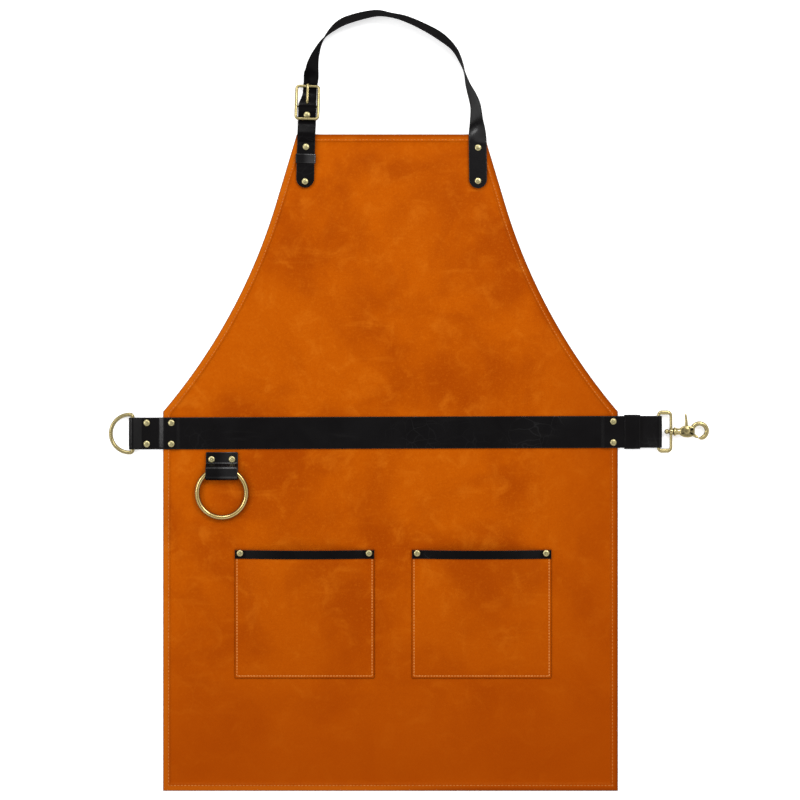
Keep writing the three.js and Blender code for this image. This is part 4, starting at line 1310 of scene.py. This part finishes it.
def fold_line(flap: tuple[float, float], bar: float, radius: float,
              lead: tuple[float, float]) -> np.ndarray:
    """A strap's side view where it turns back round a bar.

    From the flap's end straight to below the bar, round the bar on a circle, and off it on the tangent to
    the place where its upper layer lies straight again.

    Args:
        flap: the flap's end, as distance and height.
        bar: the bar's distance.
        radius: the bend's radius.
        lead: the place after the fold.

    Returns:
        The line's points.
    """
    steps = 16
    bar_z = flap[1] + radius
    towards = math.atan2(lead[1] - bar_z, lead[0] - bar) % (2 * math.pi)
    leave = towards - math.acos(radius / math.hypot(lead[0] - bar, lead[1] - bar_z))
    return np.concatenate([[flap], arc(bar, bar_z, radius, -QUARTER, leave, steps), [lead]])


@dataclass
class WaistBelt:
    """The belt across the front, folded back at each end, with the keeper that holds the right fold."""

    y: float = 447.4
    rise: float = 0.0033
    width: float = 40.0
    hide: float = 2.0
    on_sheet: float = 3.1
    on_hem: float = 4.7
    lap: float = 3.3
    ring_bar: float = -321.7
    ring_flap: tuple[float, float] = (298.0, 1.0)
    ring_lap: float = 310.5
    ring_wire: float = 5.0
    snap_bar: float = 334.4
    snap_flap: tuple[float, float] = (289.5, 2.4)
    snap_lap: float = 314.0
    snap_wire: float = 4.0
    keeper_x: float = 301.6
    keeper_width: float = 19.5
    keeper_hide: float = 1.1
    keeper_corner: float = 1.2
    rivet_x: tuple[float, float, float] = (-304.1, -273.3, 277.9)
    rivet_spread: float = 13.1

    def line_y(self, x: np.ndarray | float) -> np.ndarray | float:
        """The belt's middle at a place across."""
        return self.y + self.rise * x

    def bend(self, wire: float) -> float:
        """The radius of a fold's middle layer round a wire."""
        return wire / 2 + GAP + self.hide / 2

    def build(self) -> Surface:
        """The belt along its side view: left fold, over the hems and the sheet between, right fold."""
        left = fold_line(self.ring_flap, -self.ring_bar, self.bend(self.ring_wire),
                         (self.ring_lap, self.lap))
        right = fold_line(self.snap_flap, self.snap_bar, self.bend(self.snap_wire),
                          (self.snap_lap, self.on_hem))
        over = np.array([(-299, self.lap), (-288.5, self.lap - 0.1), (-282.5, self.on_hem + 0.4),
                         (-277.5, self.on_hem), (-268, self.on_hem), (-262, self.on_sheet),
                         (262, self.on_sheet), (268, self.on_hem)])
        line = np.concatenate([left * [-1, 1], over, right[::-1]])
        path = np.stack([line[:, 0], self.line_y(line[:, 0]), line[:, 1]], 1)
        return strap(fine_ends(spaced(path, 1.0, 1.0)), (0, 1, 0), self.width, self.hide)

    def keeper(self) -> Surface:
        """The keeper: a rounded rectangle round the belt's two layers."""
        half = self.width / 2 + GAP + self.keeper_hide / 2
        top = self.on_hem + self.hide / 2 + GAP + self.keeper_hide / 2
        loop = rounded_rectangle(half, self.keeper_hide / 2, top, self.keeper_corner)
        y = self.line_y(self.keeper_x) + loop[:, 0]
        path = np.stack([np.full(len(loop), self.keeper_x), y, loop[:, 1]], 1)
        return loop_strap(path, (1, 0, 0), self.keeper_width, self.keeper_hide)

    def rivets(self) -> list[Rivet]:
        """The three pairs of rivets, from the left."""
        columns = zip(self.rivet_x, (self.lap, self.on_hem, self.on_hem))
        places = [(x, self.line_y(x) + side * self.rivet_spread, z + self.hide / 2)
                  for x, z in columns for side in (1, -1)]
        return [Rivet(f"belt_rivet_head_{k}", f"belt_rivet_{k}", *place)
                for k, place in enumerate(places, 1)]

    def dress(self, bench: Bench) -> None:
        """Makes the belt, its keeper and its rivets."""
        bench.piece("belt_strap", self.build(), Slot.BLACK, ("waist_belt",))
        bench.piece("belt_keeper_loop", self.keeper(), Slot.BLACK, ("belt_keeper",))
        for rivet in self.rivets():
            rivet.dress(bench)


@dataclass
class DRing:
    """The D-ring in the belt's left fold: a straight bar and a half-round bow of one wire."""

    belt: WaistBelt
    wire: float = 5.0
    bar: float = 20.25
    half: float = 23.7
    leg: float = 3.9
    fall: float = math.radians(4.4)

    def build(self) -> Surface:
        """The wire round the D, laid level and then let fall about its bar."""
        bend = self.half - self.bar
        bend_steps, bow_steps = 8, 60
        loop = np.concatenate([
            arc(-bend, self.bar, bend, 0, QUARTER, bend_steps),
            arc(-self.leg, 0, self.half, QUARTER, 3 * QUARTER, bow_steps),
            arc(-bend, -self.bar, bend, 3 * QUARTER, 4 * QUARTER, bend_steps),
        ])
        path = np.column_stack([loop, np.zeros(len(loop))])
        ring = tube(path, UP, self.wire / 2, self.wire / 2, closed=True)
        place = self.belt.ring_bar
        height = self.belt.ring_flap[1] + self.belt.bend(self.wire)
        return ring.moved(turn_about(1, -self.fall), (place, self.belt.line_y(place), height))

    def dress(self, bench: Bench) -> None:
        """Makes the ring on its own body."""
        bench.piece("d_ring_wire", self.build(), Slot.FITTING, ("d_ring",), "d_ring", bench.wire)


def along_x(surface: Surface) -> Surface:
    """A turned surface laid with its axis along X."""
    return surface.moved(np.array([[0.0, 0, 1], [0, 1, 0], [-1, 0, 0]]))


def rounded_plate(outline: np.ndarray, low: float, high: float, radius: float) -> Surface:
    """A plate of a plain outline with rounded rims, closed by fans on both faces.

    Rings of the outline, moved in square to themselves by a quarter circle, run from one face to the other.

    Args:
        outline: its points, in order.
        low: its lower face.
        high: its upper face.
        radius: the rims' rounding.

    Returns:
        The closed surface.
    """
    along = unit(np.roll(outline, -1, 0) - np.roll(outline, 1, 0))
    inward = np.stack([-along[:, 1], along[:, 0]], 1)
    turn = np.linspace(0, QUARTER, 6)
    falling, rising, face = radius * (1 - np.sin(turn)), radius * (1 - np.cos(turn)), [3 * radius]
    inset = np.concatenate([face, falling, rising, face])
    height = np.concatenate([[low], low + rising, high - falling, [high]])
    flat = outline[None] + inset[:, None, None] * inward[None]
    grid = np.concatenate([flat, np.broadcast_to(height[:, None, None], (*flat.shape[:2], 1))], -1)
    return grid_surface(grid, wrap_columns=True, capped=True)


@dataclass
class TriggerSnap:
    """The swivel snap in the belt's right fold: a frame, a hook with an eye, and a sprung trigger."""

    belt: WaistBelt
    shift: float = 0.3
    bar: float = 4.0
    leg: float = 5.4
    depth: float = 4.4
    end: float = 3.6
    half: float = 23.8
    reach: float = 15.35
    corner: float = 4.2
    fold_bar: float = 20.25
    boss: float = 4.5
    boss_length: float = 4.6
    bore: float = 2.1
    post: float = 1.75
    ball: float = 3.2
    hook_depth: float = 9.0
    slot: float = 3.4
    eye: tuple[float, float] = (50.9, 0.9)
    eye_radius: float = 9.2
    eye_wire: float = 5.7
    pivot: tuple[float, float] = (34.6, 1.25)
    pivot_boss: float = 4.3
    pivot_depth: float = 9.8
    trigger_depth: float = 2.8
    thumb_tip: tuple[float, float] = (33.5, 22.5)
    thumb_wide: tuple[float, float] = (2.5, 1.25)
    hub: float = 3.9
    hub_bevel: float = 0.5
    cheek_round: float = 1.35
    # Angles in degrees where the eye's wire starts and ends, and where the gate runs inside it
    eye_span: tuple[float, float] = (156.0, -98.0)
    gate_span: tuple[float, float] = (200.0, 259.0)
    gate_radius: tuple[float, float] = (9.1, 8.0)
    gate_wide: tuple[float, float, float] = (2.2, 2.3, 1.5)
    # Distances from the fold's bar, with the collar's radii and the cheeks' half widths
    collar: tuple[tuple[float, float], ...] = (
        (17.95, 4.0), (18.2, 4.4), (19.2, 5.2), (20, 5.35), (20.8, 5.2), (22.2, 4.5), (24, 4.1), (27, 4.1),
        (30.2, 4.4), (30.3, 0),
    )
    cheek: tuple[tuple[float, float], ...] = (
        (26.2, 3.2), (27.4, 4.8), (29.6, 6.2), (32, 7.0), (34.6, 7.4), (37, 7.3), (39.5, 6.8), (42, 6.0),
        (44.6, 5.0),
    )

    def placed(self, surface: Surface) -> Surface:
        """A surface drawn from the middle of the fold's bar, in its place."""
        place = self.belt.snap_bar
        height = self.belt.snap_flap[1] + self.belt.bend(self.belt.snap_wire)
        return surface.moved(by=(place, self.belt.line_y(place) + self.shift, height))

    def frame_surface(self) -> Surface:
        """The frame: an oval wire that is thicker at its sides, and the swivel's boss with its bore."""
        bend, steps = self.half - self.fold_bar, 8
        outer = arc(self.reach - self.corner, self.half - self.corner, self.corner, 0, QUARTER, steps)
        inner = arc(bend, self.half - bend, bend, QUARTER, 2 * QUARTER, steps)
        t = np.linspace(0, 1, steps + 1)
        deep = np.concatenate([self.end + (self.leg - self.end) * t,
                               self.leg + (self.bar - self.leg) * t]) / 2
        wide = np.concatenate([np.full(steps + 1, self.depth),
                               self.depth + (self.bar - self.depth) * t]) / 2
        upper = np.column_stack([np.concatenate([outer, inner]), deep, wide])
        lower = upper[::-1] * [1, -1, 1, 1]
        rows = np.concatenate([upper, lower, upper[:1]])
        rows = spaced(rows, 1.2, 0.4, 2)[:-1]
        path = np.column_stack([rows[:, :2], np.zeros(len(rows))])
        wire = tube(path, UP, rows[:, 3], rows[:, 2], closed=True)
        half, radius, soft, bevel = self.boss_length / 2, self.boss, 0.7, 0.2
        profile = np.array([(self.bore, -half), (radius - soft, -half), (radius - bevel, -half + bevel),
                            (radius, -half + soft), (radius, half - soft), (radius - bevel, half - bevel),
                            (radius - soft, half), (self.bore, half)])
        boss = along_x(ring_lathe(profile)).moved(by=(self.reach, 0, 0))
        return self.placed(joined([wire, boss]))

    def hook_surface(self) -> Surface:
        """The hook: swivel post and collar, two cheeks with a slot between, pivot boss and the open eye."""
        face = self.reach - self.boss_length / 2 - GAP
        neck = self.post + 0.2
        ball_x = face - math.sqrt(self.ball**2 - neck**2)
        cap = arc(0, ball_x, self.ball, -QUARTER, math.acos(neck / self.ball), 12)
        cap[0, 0] = 0
        collar = np.array(self.collar)[:, ::-1]
        profile = np.concatenate([cap, [(self.post, face), (self.post, collar[0, 1])], collar])
        post = along_x(lathe(profile))
        sides = np.array(self.cheek)
        outline = np.concatenate([sides * [1, -1], sides[::-1]])
        outline = spaced(np.concatenate([outline, outline[:1]]), 0.7, 0.6, 2)[:-1]
        half, gap = self.hook_depth / 2, self.slot / 2
        faces = ((gap, half), (-half, -gap))
        cheeks = [rounded_plate(outline, low, high, self.cheek_round) for low, high in faces]
        rim = self.pivot_depth / 2
        dome = np.array([(0, -rim - 0.1), (2.6, -rim), (4, -rim + 0.4), (self.pivot_boss, -rim + 1.2),
                         (self.pivot_boss, -gap), (0, -gap)])
        bosses = [lathe(dome).moved(by=(*self.pivot, 0)), lathe(dome * [1, -1]).moved(by=(*self.pivot, 0))]
        start, end = (math.radians(angle) for angle in self.eye_span)
        tip = np.concatenate([np.ones(48), np.sqrt(np.linspace(1, 0.05, 9))])
        ring = arc(*self.eye, self.eye_radius, start, end, len(tip) - 1)
        path = np.column_stack([ring, np.zeros(len(ring))])
        eye = tube(path, UP, self.eye_wire / 2 * tip, self.eye_wire / 2 * tip)
        return self.placed(joined([post, *cheeks, *bosses, eye]))

    def trigger_surface(self) -> Surface:
        """The trigger: a thumb spike that narrows to a round tip, a hub, and a gate along the eye."""
        half = self.trigger_depth / 2
        pivot, tip = np.array(self.pivot), np.array(self.thumb_tip)
        t = np.linspace(0, 1, 24)
        bow, rounded = 0.5, 0.9
        spike = pivot + (tip - pivot) * t[:, None] + np.stack([bow * np.sin(math.pi * t), 0 * t], 1)
        close = np.sqrt(np.clip(1 - ((t - rounded) / 0.1) ** 2, 0.03, 1)) * (t > rounded) + (t <= rounded)
        root, end = self.thumb_wide
        deep = (root + (end - root) * t**0.7) * close
        thumb = tube(np.column_stack([spike, 0 * t]), UP, half * close, deep)
        count = 20
        angle = np.radians(np.linspace(*self.gate_span, count))
        radius = np.linspace(*self.gate_radius, count)
        curve = np.array(self.eye) + radius[:, None] * np.stack([np.cos(angle), np.sin(angle)], 1)
        line = np.concatenate([pivot[None], curve])
        width = np.concatenate([self.gate_wide[:1], np.linspace(*self.gate_wide[1:], count)])
        rows = spaced(np.column_stack([line, width]), 0.7, 0.8, 2)
        path = np.column_stack([rows[:, :2], np.zeros(len(rows))])
        gate = tube(path, UP, half, rows[:, 2])
        inner, bevel = self.hub - self.hub_bevel, self.hub_bevel
        rim = np.array([(0, -half), (inner, -half), (self.hub, -half + bevel), (self.hub, half - bevel),
                        (inner, half), (0, half)])
        hub = lathe(rim).moved(by=(*self.pivot, 0))
        return self.placed(joined([thumb, gate, hub]))

    def dress(self, bench: Bench) -> None:
        """Makes the frame, the hook and the trigger, each on its own body."""
        bench.piece("snap_frame_wire", self.frame_surface(), Slot.FITTING, ("snap_frame",), "snap_frame")
        bench.piece("snap_hook_body", self.hook_surface(), Slot.FITTING, ("snap_hook",), "snap_hook")
        bench.piece("snap_trigger_lever", self.trigger_surface(), Slot.FITTING, ("snap_trigger",),
                    "snap_trigger")


@dataclass
class HangingRing:
    """The tab below the belt, folded round a large round ring, with its two rivets."""

    x: float = -210.3
    width: float = 40.0
    top: float = 423.1
    hide: float = 2.0
    fold_y: float = 393.6
    hump_y: float = 405.6
    flat_y: float = 409.4
    low: float = 3.1
    ring_radius: float = 30.6
    ring_wire: float = 6.5
    ring_y: float = 372.1
    ring_high: float = 7.65
    ring_low: float = 5.35
    slope_back: float = 3.4
    slope_more: float = 4.0
    rivet_spread: float = 12.75
    rivet_y: float = 414.2
    rivet_top: float = 6.4

    def tab(self) -> Surface:
        """The tab's side view: up under the ring, round its wire, over a hump and flat to the top again."""
        bend = self.ring_wire / 2 + GAP + self.hide / 2
        fold = fold_line((-self.top, self.low), -self.fold_y, bend, (-self.hump_y, self.low + 2 * bend))
        lapped = self.low + self.hide + GAP
        t = np.linspace(0, 1, 12)[1:]
        ease = lapped + (self.low + 2 * bend - lapped) * (0.5 + 0.5 * np.cos(math.pi * t))
        run = self.flat_y + self.slope_more - self.hump_y
        slope = np.stack([self.hump_y - self.slope_back + run * t, ease], 1)
        line = np.concatenate([fold[:-1] * [-1, 1], slope, [(self.top, lapped)]])
        path = np.column_stack([np.full(len(line), self.x), line])
        return strap(fine_ends(spaced(path, 0.7, 0.9)), (-1, 0, 0), self.width, self.hide)

    def ring(self) -> Surface:
        """The ring: a round wire on a circle, higher where the tab holds it."""
        angle = full_turn(120)
        path = np.stack([self.ring_radius * np.cos(angle), self.ring_radius * np.sin(angle), 0 * angle], 1)
        wire = tube(path, UP, self.ring_wire / 2, self.ring_wire / 2, closed=True, sides=28)
        tilt = math.asin((self.ring_high - self.ring_low) / (2 * self.ring_radius))
        height = (self.ring_high + self.ring_low) / 2
        return wire.moved(turn_about(0, tilt), (self.x, self.ring_y, height))

    def dress(self, bench: Bench) -> None:
        """Makes the tab, the ring and the rivets."""
        bench.piece("ring_tab_fold", self.tab(), Slot.BLACK, ("ring_tab",), material=bench.tab)
        bench.piece("hang_ring_wire", self.ring(), Slot.FITTING, ("hang_ring",), material=bench.ring)
        for k, side in enumerate((-1, 1), 1):
            Rivet(f"tab_rivet_head_{k}", f"tab_rivet_{k}", self.x + side * self.rivet_spread, self.rivet_y,
                  self.rivet_top).dress(bench)


@dataclass
class NeckStrap:
    """The neck strap with its buckle: a long strap from the right anchor, a short one on the left."""

    width: float = 22.5
    hide: float = 1.7
    on_hem: float = 3.7
    on_keeper: float = 5.0
    lap: float = 2.85
    left: tuple[float, float] = (-105.3, 803.75)
    lean: float = math.radians(1.7)
    right_x: float = 109.2
    right_rivets: tuple[float, float] = (802.9, 761.4)
    right_end: float = 752.4
    right_straight: float = 15.0
    short_end: float = -50.6
    low_rivet: float = -43.1
    centre_bar: float = 50.6
    centre_wire: float = 2.6
    centre_z: float = 3.3
    keeper_y: float = -14.6
    keeper_width: float = 11.4
    keeper_hide: float = 1.0
    keeper_corner: float = 1.0
    # The buckle's frame along the left anchor: wire radius, half width, and both ends' places and heights
    frame_wire: float = 1.9
    frame_half: float = 13.8
    frame_corner: float = 3.4
    frame_y: tuple[float, float] = (34.6, 75.9)
    frame_z: tuple[float, float] = (9.5, 4.6)
    stud: tuple[float, float] = (39.9, 5.7)
    # Along, height and thickness of the tongue's shaft, and its radius across
    shaft: tuple[tuple[float, float, float], ...] = (
        (53, 5.6, 1.6), (53.7, 7.8, 2), (55, 9.2, 2.2), (57.4, 9.6, 2.2), (73, 8.4, 2.2), (75.8, 8.0, 2),
        (78.1, 7.5, 1.3),
    )
    shaft_half: float = 1.6
    curl_thick: float = 1.2
    # How much narrower the long strap is in the buckle, and where that grows, is full, fades and is gone
    cut: float = 5.0
    cut_span: tuple[float, float, float, float] = (852.0, 874.0, 882.0, 895.0)
    # Along the left anchor and height of the long strap's tail
    tail: tuple[tuple[float, float], ...] = (
        (6.9, 7), (18, 7), (28.5, 4), (44.3, 4), (49, 6.9), (53, 6.9), (66, 0.6), (74, 0.6),
    )
    # Across, along, roll in degrees from flat towards the outer edge up, and the lower edge's height
    loop: tuple[tuple[float, float, float, float], ...] = (
        (-102.5, 884, 0, 0.6), (-98.4, 894, 39, 0.2), (-96.5, 906, 56, 0), (-92, 920.5, 76, 0),
        (-83.6, 937, 96, 0), (-66.9, 954, 119, 0), (-50.4, 962.4, 125, 0), (-19.4, 969.6, 121, 0),
        (0, 967.2, 114, 0), (18, 963, 118, 0), (39.8, 953.6, 121, 0), (61.6, 941.2, 124, 0),
        (79, 925.4, 113, 0), (87.8, 908.4, 103, 0), (92.6, 893.6, 92, 0), (96.3, 880, 81, 0),
        (102.4, 865, 67, 0), (106, 853, 59, 0), (107, 835.6, 46, 1.5), (108, 822, 24, 3.7),
        (108.8, 808.5, 0, 3.7),
    )

    def along_left(self, points: np.ndarray) -> np.ndarray:
        """Points drawn along the left anchor, from its upper rivet, in their place."""
        return points @ turn_about(2, -self.lean).T + np.array([*self.left, 0])

    def on_left(self, surface: Surface) -> Surface:
        """A surface drawn along the left anchor, in its place."""
        return surface.moved(turn_about(2, -self.lean), (*self.left, 0))

    def long_strap(self) -> Surface:
        """The long strap: rows of place, roll and lower edge, softened along their length.

        At each row the strap's width points outwards from the loop, rolled up about its own line, and its
        middle lies half its rolled width above its lower edge. Under the buckle's far bar it is narrower by
        the cut, taken from its outer edge.

        Returns:
            The closed strap.
        """
        tail = np.array(self.tail)
        free = self.along_left(np.stack([0 * tail[:, 0], tail[:, 0], tail[:, 1]], 1))
        free = np.stack([free[:, 0], free[:, 1], 0 * free[:, 0], free[:, 2]], 1)
        anchor = np.array([(self.right_x, self.right_end + self.right_straight, 0, self.on_hem),
                           (self.right_x, self.right_end, 0, self.on_hem)])
        rows = np.concatenate([free, catmull_rom(np.array(self.loop), 6), anchor])
        rows = fine_ends(spaced(rows, 1.2, 2.0, 2), dims=2)
        along = unit(np.gradient(rows[:, :2], axis=0))
        outward = np.stack([-along[:, 1], along[:, 0], 0 * along[:, 0]], 1)
        roll = np.radians(rows[:, 2])[:, None]
        side = outward * np.cos(roll) + np.array(UP) * np.sin(roll)
        up = np.array(UP) * np.cos(roll) - outward * np.sin(roll)
        half = self.width / 2 * np.abs(np.sin(roll[:, 0])) + self.hide / 2 * np.abs(np.cos(roll[:, 0]))
        path = np.stack([rows[:, 0], rows[:, 1], np.maximum(rows[:, 3], 0) + half], 1)
        grow, full, fade, gone = self.cut_span
        cut = self.cut * step_up(rows[:, 1], grow, full) * (1 - step_up(rows[:, 1], fade, gone))
        cut = np.where(rows[:, 0] < 0, cut, 0)[:, None]
        return strap(path - side * cut / 2, side, self.width, self.hide, End.ROUND, up,
                     narrow=1 - cut[:, 0] / self.width)

    def short_strap(self) -> Surface:
        """The short strap: flap, fold round the buckle's bar, over the keeper's base, down to its end."""
        bend = self.centre_wire / 2 + GAP + self.hide / 2
        fold = fold_line((26.0, self.hide / 2), self.centre_bar, bend, (44.8, self.lap))
        high, low = self.on_keeper + self.hide / 2, self.on_hem + self.hide / 2
        over = [(28, self.lap), (18, high), (-24, high), (-30, low), (self.short_end, low)]
        line = np.concatenate([fold, over])
        path = fine_ends(spaced(np.column_stack([np.zeros(len(line)), line]), 0.7, 0.8))
        return self.on_left(strap(path, (1, 0, 0), self.width, self.hide, End.ROUND))

    def keeper(self) -> Surface:
        """The keeper round the short strap."""
        hide = self.keeper_hide
        half = self.width / 2 + GAP + hide / 2
        low = self.on_keeper - GAP - hide / 2
        high = self.on_keeper + self.hide + GAP + hide / 2
        loop = rounded_rectangle(half, low, high, self.keeper_corner)
        path = np.stack([loop[:, 0], np.full(len(loop), self.keeper_y), loop[:, 1]], 1)
        return self.on_left(loop_strap(path, (0, 1, 0), self.keeper_width, hide))

    def buckle(self) -> Surface:
        """The buckle's frame: a tipped rounded rectangle of wire, and a bar that drops at its ends."""
        wire, half = self.frame_wire, self.frame_half
        (low_y, high_y), (low_z, high_z) = self.frame_y, self.frame_z
        run = high_y - low_y
        long = math.hypot(run, low_z - high_z) / 2
        loop = rounded_rectangle(half, -long, long, self.frame_corner)
        loop = spaced(np.concatenate([loop, loop[:1]]), 1.0, 0.3, 2)[:-1]
        ring = tube(np.column_stack([loop, 0 * loop[:, 0]]), UP, wire, wire, closed=True)
        ring = ring.moved(turn_about(0, -math.atan2(low_z - high_z, run)),
                          (0, (low_y + high_y) / 2, (low_z + high_z) / 2))
        leg = low_z + (high_z - low_z) * (self.centre_bar - low_y) / run
        inner = half - 0.8
        line = np.array([(-half, leg), (-inner, self.centre_z), (inner, self.centre_z), (half, leg)])
        line = spaced(line, 0.6, 0.6, 2)
        path = np.stack([line[:, 0], np.full(len(line), self.centre_bar), line[:, 1]], 1)
        bar = tube(path, (0, 1, 0), self.centre_wire / 2, self.centre_wire / 2)
        return self.on_left(joined([ring, bar]))

    def tongue(self) -> Surface:
        """The buckle's tongue: curled round the bar, up through the strap and along to the far bar."""
        radius = self.centre_wire / 2 + GAP + self.curl_thick / 2
        curl = arc(self.centre_bar, self.centre_z, radius, math.radians(110), 4 * QUARTER, 16)
        curl = np.column_stack([curl, np.full(len(curl), self.curl_thick)])
        rows = spaced(np.concatenate([curl, self.shaft]), 0.5, 0.5, 2)
        path = np.column_stack([np.zeros(len(rows)), rows[:, :2]])
        return self.on_left(tube(path, (1, 0, 0), self.shaft_half, rows[:, 2] / 2))

    def rivets(self) -> list[Rivet]:
        """The two rivets of each anchor and the stud in the buckle."""
        def on_left(name: str, node: str, y: float, top: float) -> Rivet:
            """A rivet along the left anchor."""
            place = self.along_left(np.array([0.0, y, 0.0]))
            return Rivet(name, node, place[0], place[1], top)

        over = self.on_hem + self.hide
        made = [on_left("buckle_rivet_head_1", "buckle_rivet_1", 0.0, self.on_keeper + self.hide),
                on_left("buckle_rivet_head_2", "buckle_rivet_2", self.low_rivet, over),
                on_left("buckle_stud_head", "buckle_stud", *self.stud)]
        return made + [Rivet(f"neck_rivet_head_{k}", f"neck_rivet_{k}", self.right_x, y, over)
                       for k, y in enumerate(self.right_rivets, 1)]

    def dress(self, bench: Bench) -> None:
        """Makes the straps, the keeper, the buckle and the rivets."""
        bench.piece("neck_strap_long", self.long_strap(), Slot.BLACK, ("neck_strap",), material=bench.neck)
        bench.piece("neck_strap_short", self.short_strap(), Slot.BLACK, ("buckle_strap",))
        bench.piece("strap_keeper_loop", self.keeper(), Slot.BLACK, ("strap_keeper",),
                    material=bench.keeper)
        bench.piece("buckle_frame_wire", self.buckle(), Slot.FITTING, ("buckle_frame",),
                    material=bench.wire)
        bench.piece("buckle_tongue_wire", self.tongue(), Slot.FITTING, ("buckle_tongue",),
                    material=bench.wire)
        for rivet in self.rivets():
            rivet.dress(bench)


@dataclass(frozen=True)
class Lamp:
    """A square area light that points at a place: sizes in metres, power in watts."""

    name: str
    place: tuple[float, float, float]
    aim: tuple[float, float, float]
    size: float
    power: float

    def build(self) -> None:
        """Makes the light, tipped up from straight down and then turned towards its aim."""
        data = bpy.data.lights.new(self.name, "AREA")
        data.size, data.energy = self.size, self.power
        lamp = bpy.data.objects.new(self.name, data)
        lamp.location = self.place
        way = np.array(self.aim, float) - np.array(self.place, float)
        yaw = math.atan2(way[1], way[0])
        pitch = math.atan2(math.hypot(way[0], way[1]), -way[2])
        lamp.rotation_euler = (pitch, 0, yaw - QUARTER)
        bpy.context.scene.collection.objects.link(lamp)


@dataclass
class Studio:
    """A pale floor, soft lights and a camera straight above."""

    # Millimetres to a pixel, the picture's width in pixels, and its middle in the frame's metres
    scale: float = 1.25
    picture: float = 800.0
    middle: tuple[float, float] = (-0.01078, 0.00008)
    lens: float = 85.0
    sensor: float = 36.0
    floor_size: float = 20.0
    lamps: tuple[Lamp, ...] = (
        Lamp("key", (1.0, 1.2, 1.9), (0.05, 0.2, 0), 0.7, 23),
        Lamp("top", (-0.6, 1.6, 1.6), (-0.1, 0.3, 0), 0.9, 16),
        Lamp("left", (-1.7, 0.2, 1.6), (0, 0.1, 0), 0.7, 10),
        Lamp("low", (0.3, -1.7, 1.7), (0, -0.1, 0), 1.2, 1.5),
    )
    sky_dim: tuple = colour(0.1, 0.1, 0.11)
    sky_bright: tuple = colour(1.18, 1.18, 1.18)
    # Upward share of the view where the sky's ring begins and ends, and how much of it is left at the top
    sky_from: tuple[float, float] = (0.2, 0.55)
    sky_to: tuple[float, float] = (0.86, 0.96)
    sky_top: float = 0.2

    def camera(self) -> None:
        """The camera above the picture's middle, as high as its lens needs to see the picture's width."""
        data = bpy.data.cameras.new("camera")
        data.lens, data.sensor_width = self.lens, self.sensor
        camera = bpy.data.objects.new("camera", data)
        height = self.picture * self.scale * MM * self.lens / self.sensor
        camera.location = (*self.middle, height)
        bpy.context.scene.collection.objects.link(camera)
        bpy.context.scene.camera = camera

    def floor(self) -> None:
        """A broad flat floor that the apron lies on."""
        half = self.floor_size / 2
        corners = [(-half, -half, 0), (half, -half, 0), (half, half, 0), (-half, half, 0)]
        mesh = bpy.data.meshes.new("floor")
        mesh.from_pydata(corners, [], [(0, 1, 2, 3)])
        mesh.materials.append(FloorFinish().material())
        floor = bpy.data.objects.new("floor", mesh)
        bpy.context.scene.collection.objects.link(floor)

    def sky(self) -> None:
        """A soft white sky, bright in a broad ring and dim at its top and towards the horizon."""
        world = bpy.data.worlds.new("surroundings")
        world.use_nodes = True
        graph = Graph(world.node_tree)
        way = graph.add("TexCoord").outputs["Generated"]
        up = graph.add("SeparateXYZ", {"Vector": way}).outputs["Z"]
        band = graph.math("MULTIPLY", graph.ramp(up, *self.sky_from),
                          graph.ramp(up, *self.sky_to, 1.0, self.sky_top))
        tone = graph.mix(band, self.sky_dim, self.sky_bright)
        graph.feed(world.node_tree.nodes["Background"].inputs["Color"], tone)
        bpy.context.scene.world = world

    def build(self) -> None:
        """Makes the camera, the floor, the lights and the sky."""
        self.camera()
        self.floor()
        for lamp in self.lamps:
            lamp.build()
        self.sky()
        bpy.context.scene.view_settings.view_transform = "Standard"


def main() -> None:
    """Builds the studio and every piece of the apron in order."""
    logging.basicConfig(level=logging.INFO, format="%(name)s: %(message)s")
    bench = Bench()
    Studio().build()
    belt = WaistBelt()
    pockets = [Pocket("left", -107.3), Pocket("right", 113.7)]
    for part in (ApronHide(), *pockets, belt, DRing(belt), TriggerSnap(belt), HangingRing(), NeckStrap()):
        part.dress(bench)
    places = [place for pocket in pockets for place in pocket.rivet_places()]
    for k, place in enumerate(places, 1):
        Rivet(f"pocket_rivet_head_{k}", f"pocket_rivet_{k}", *place).dress(bench)


if __name__ == "__main__":
    main()
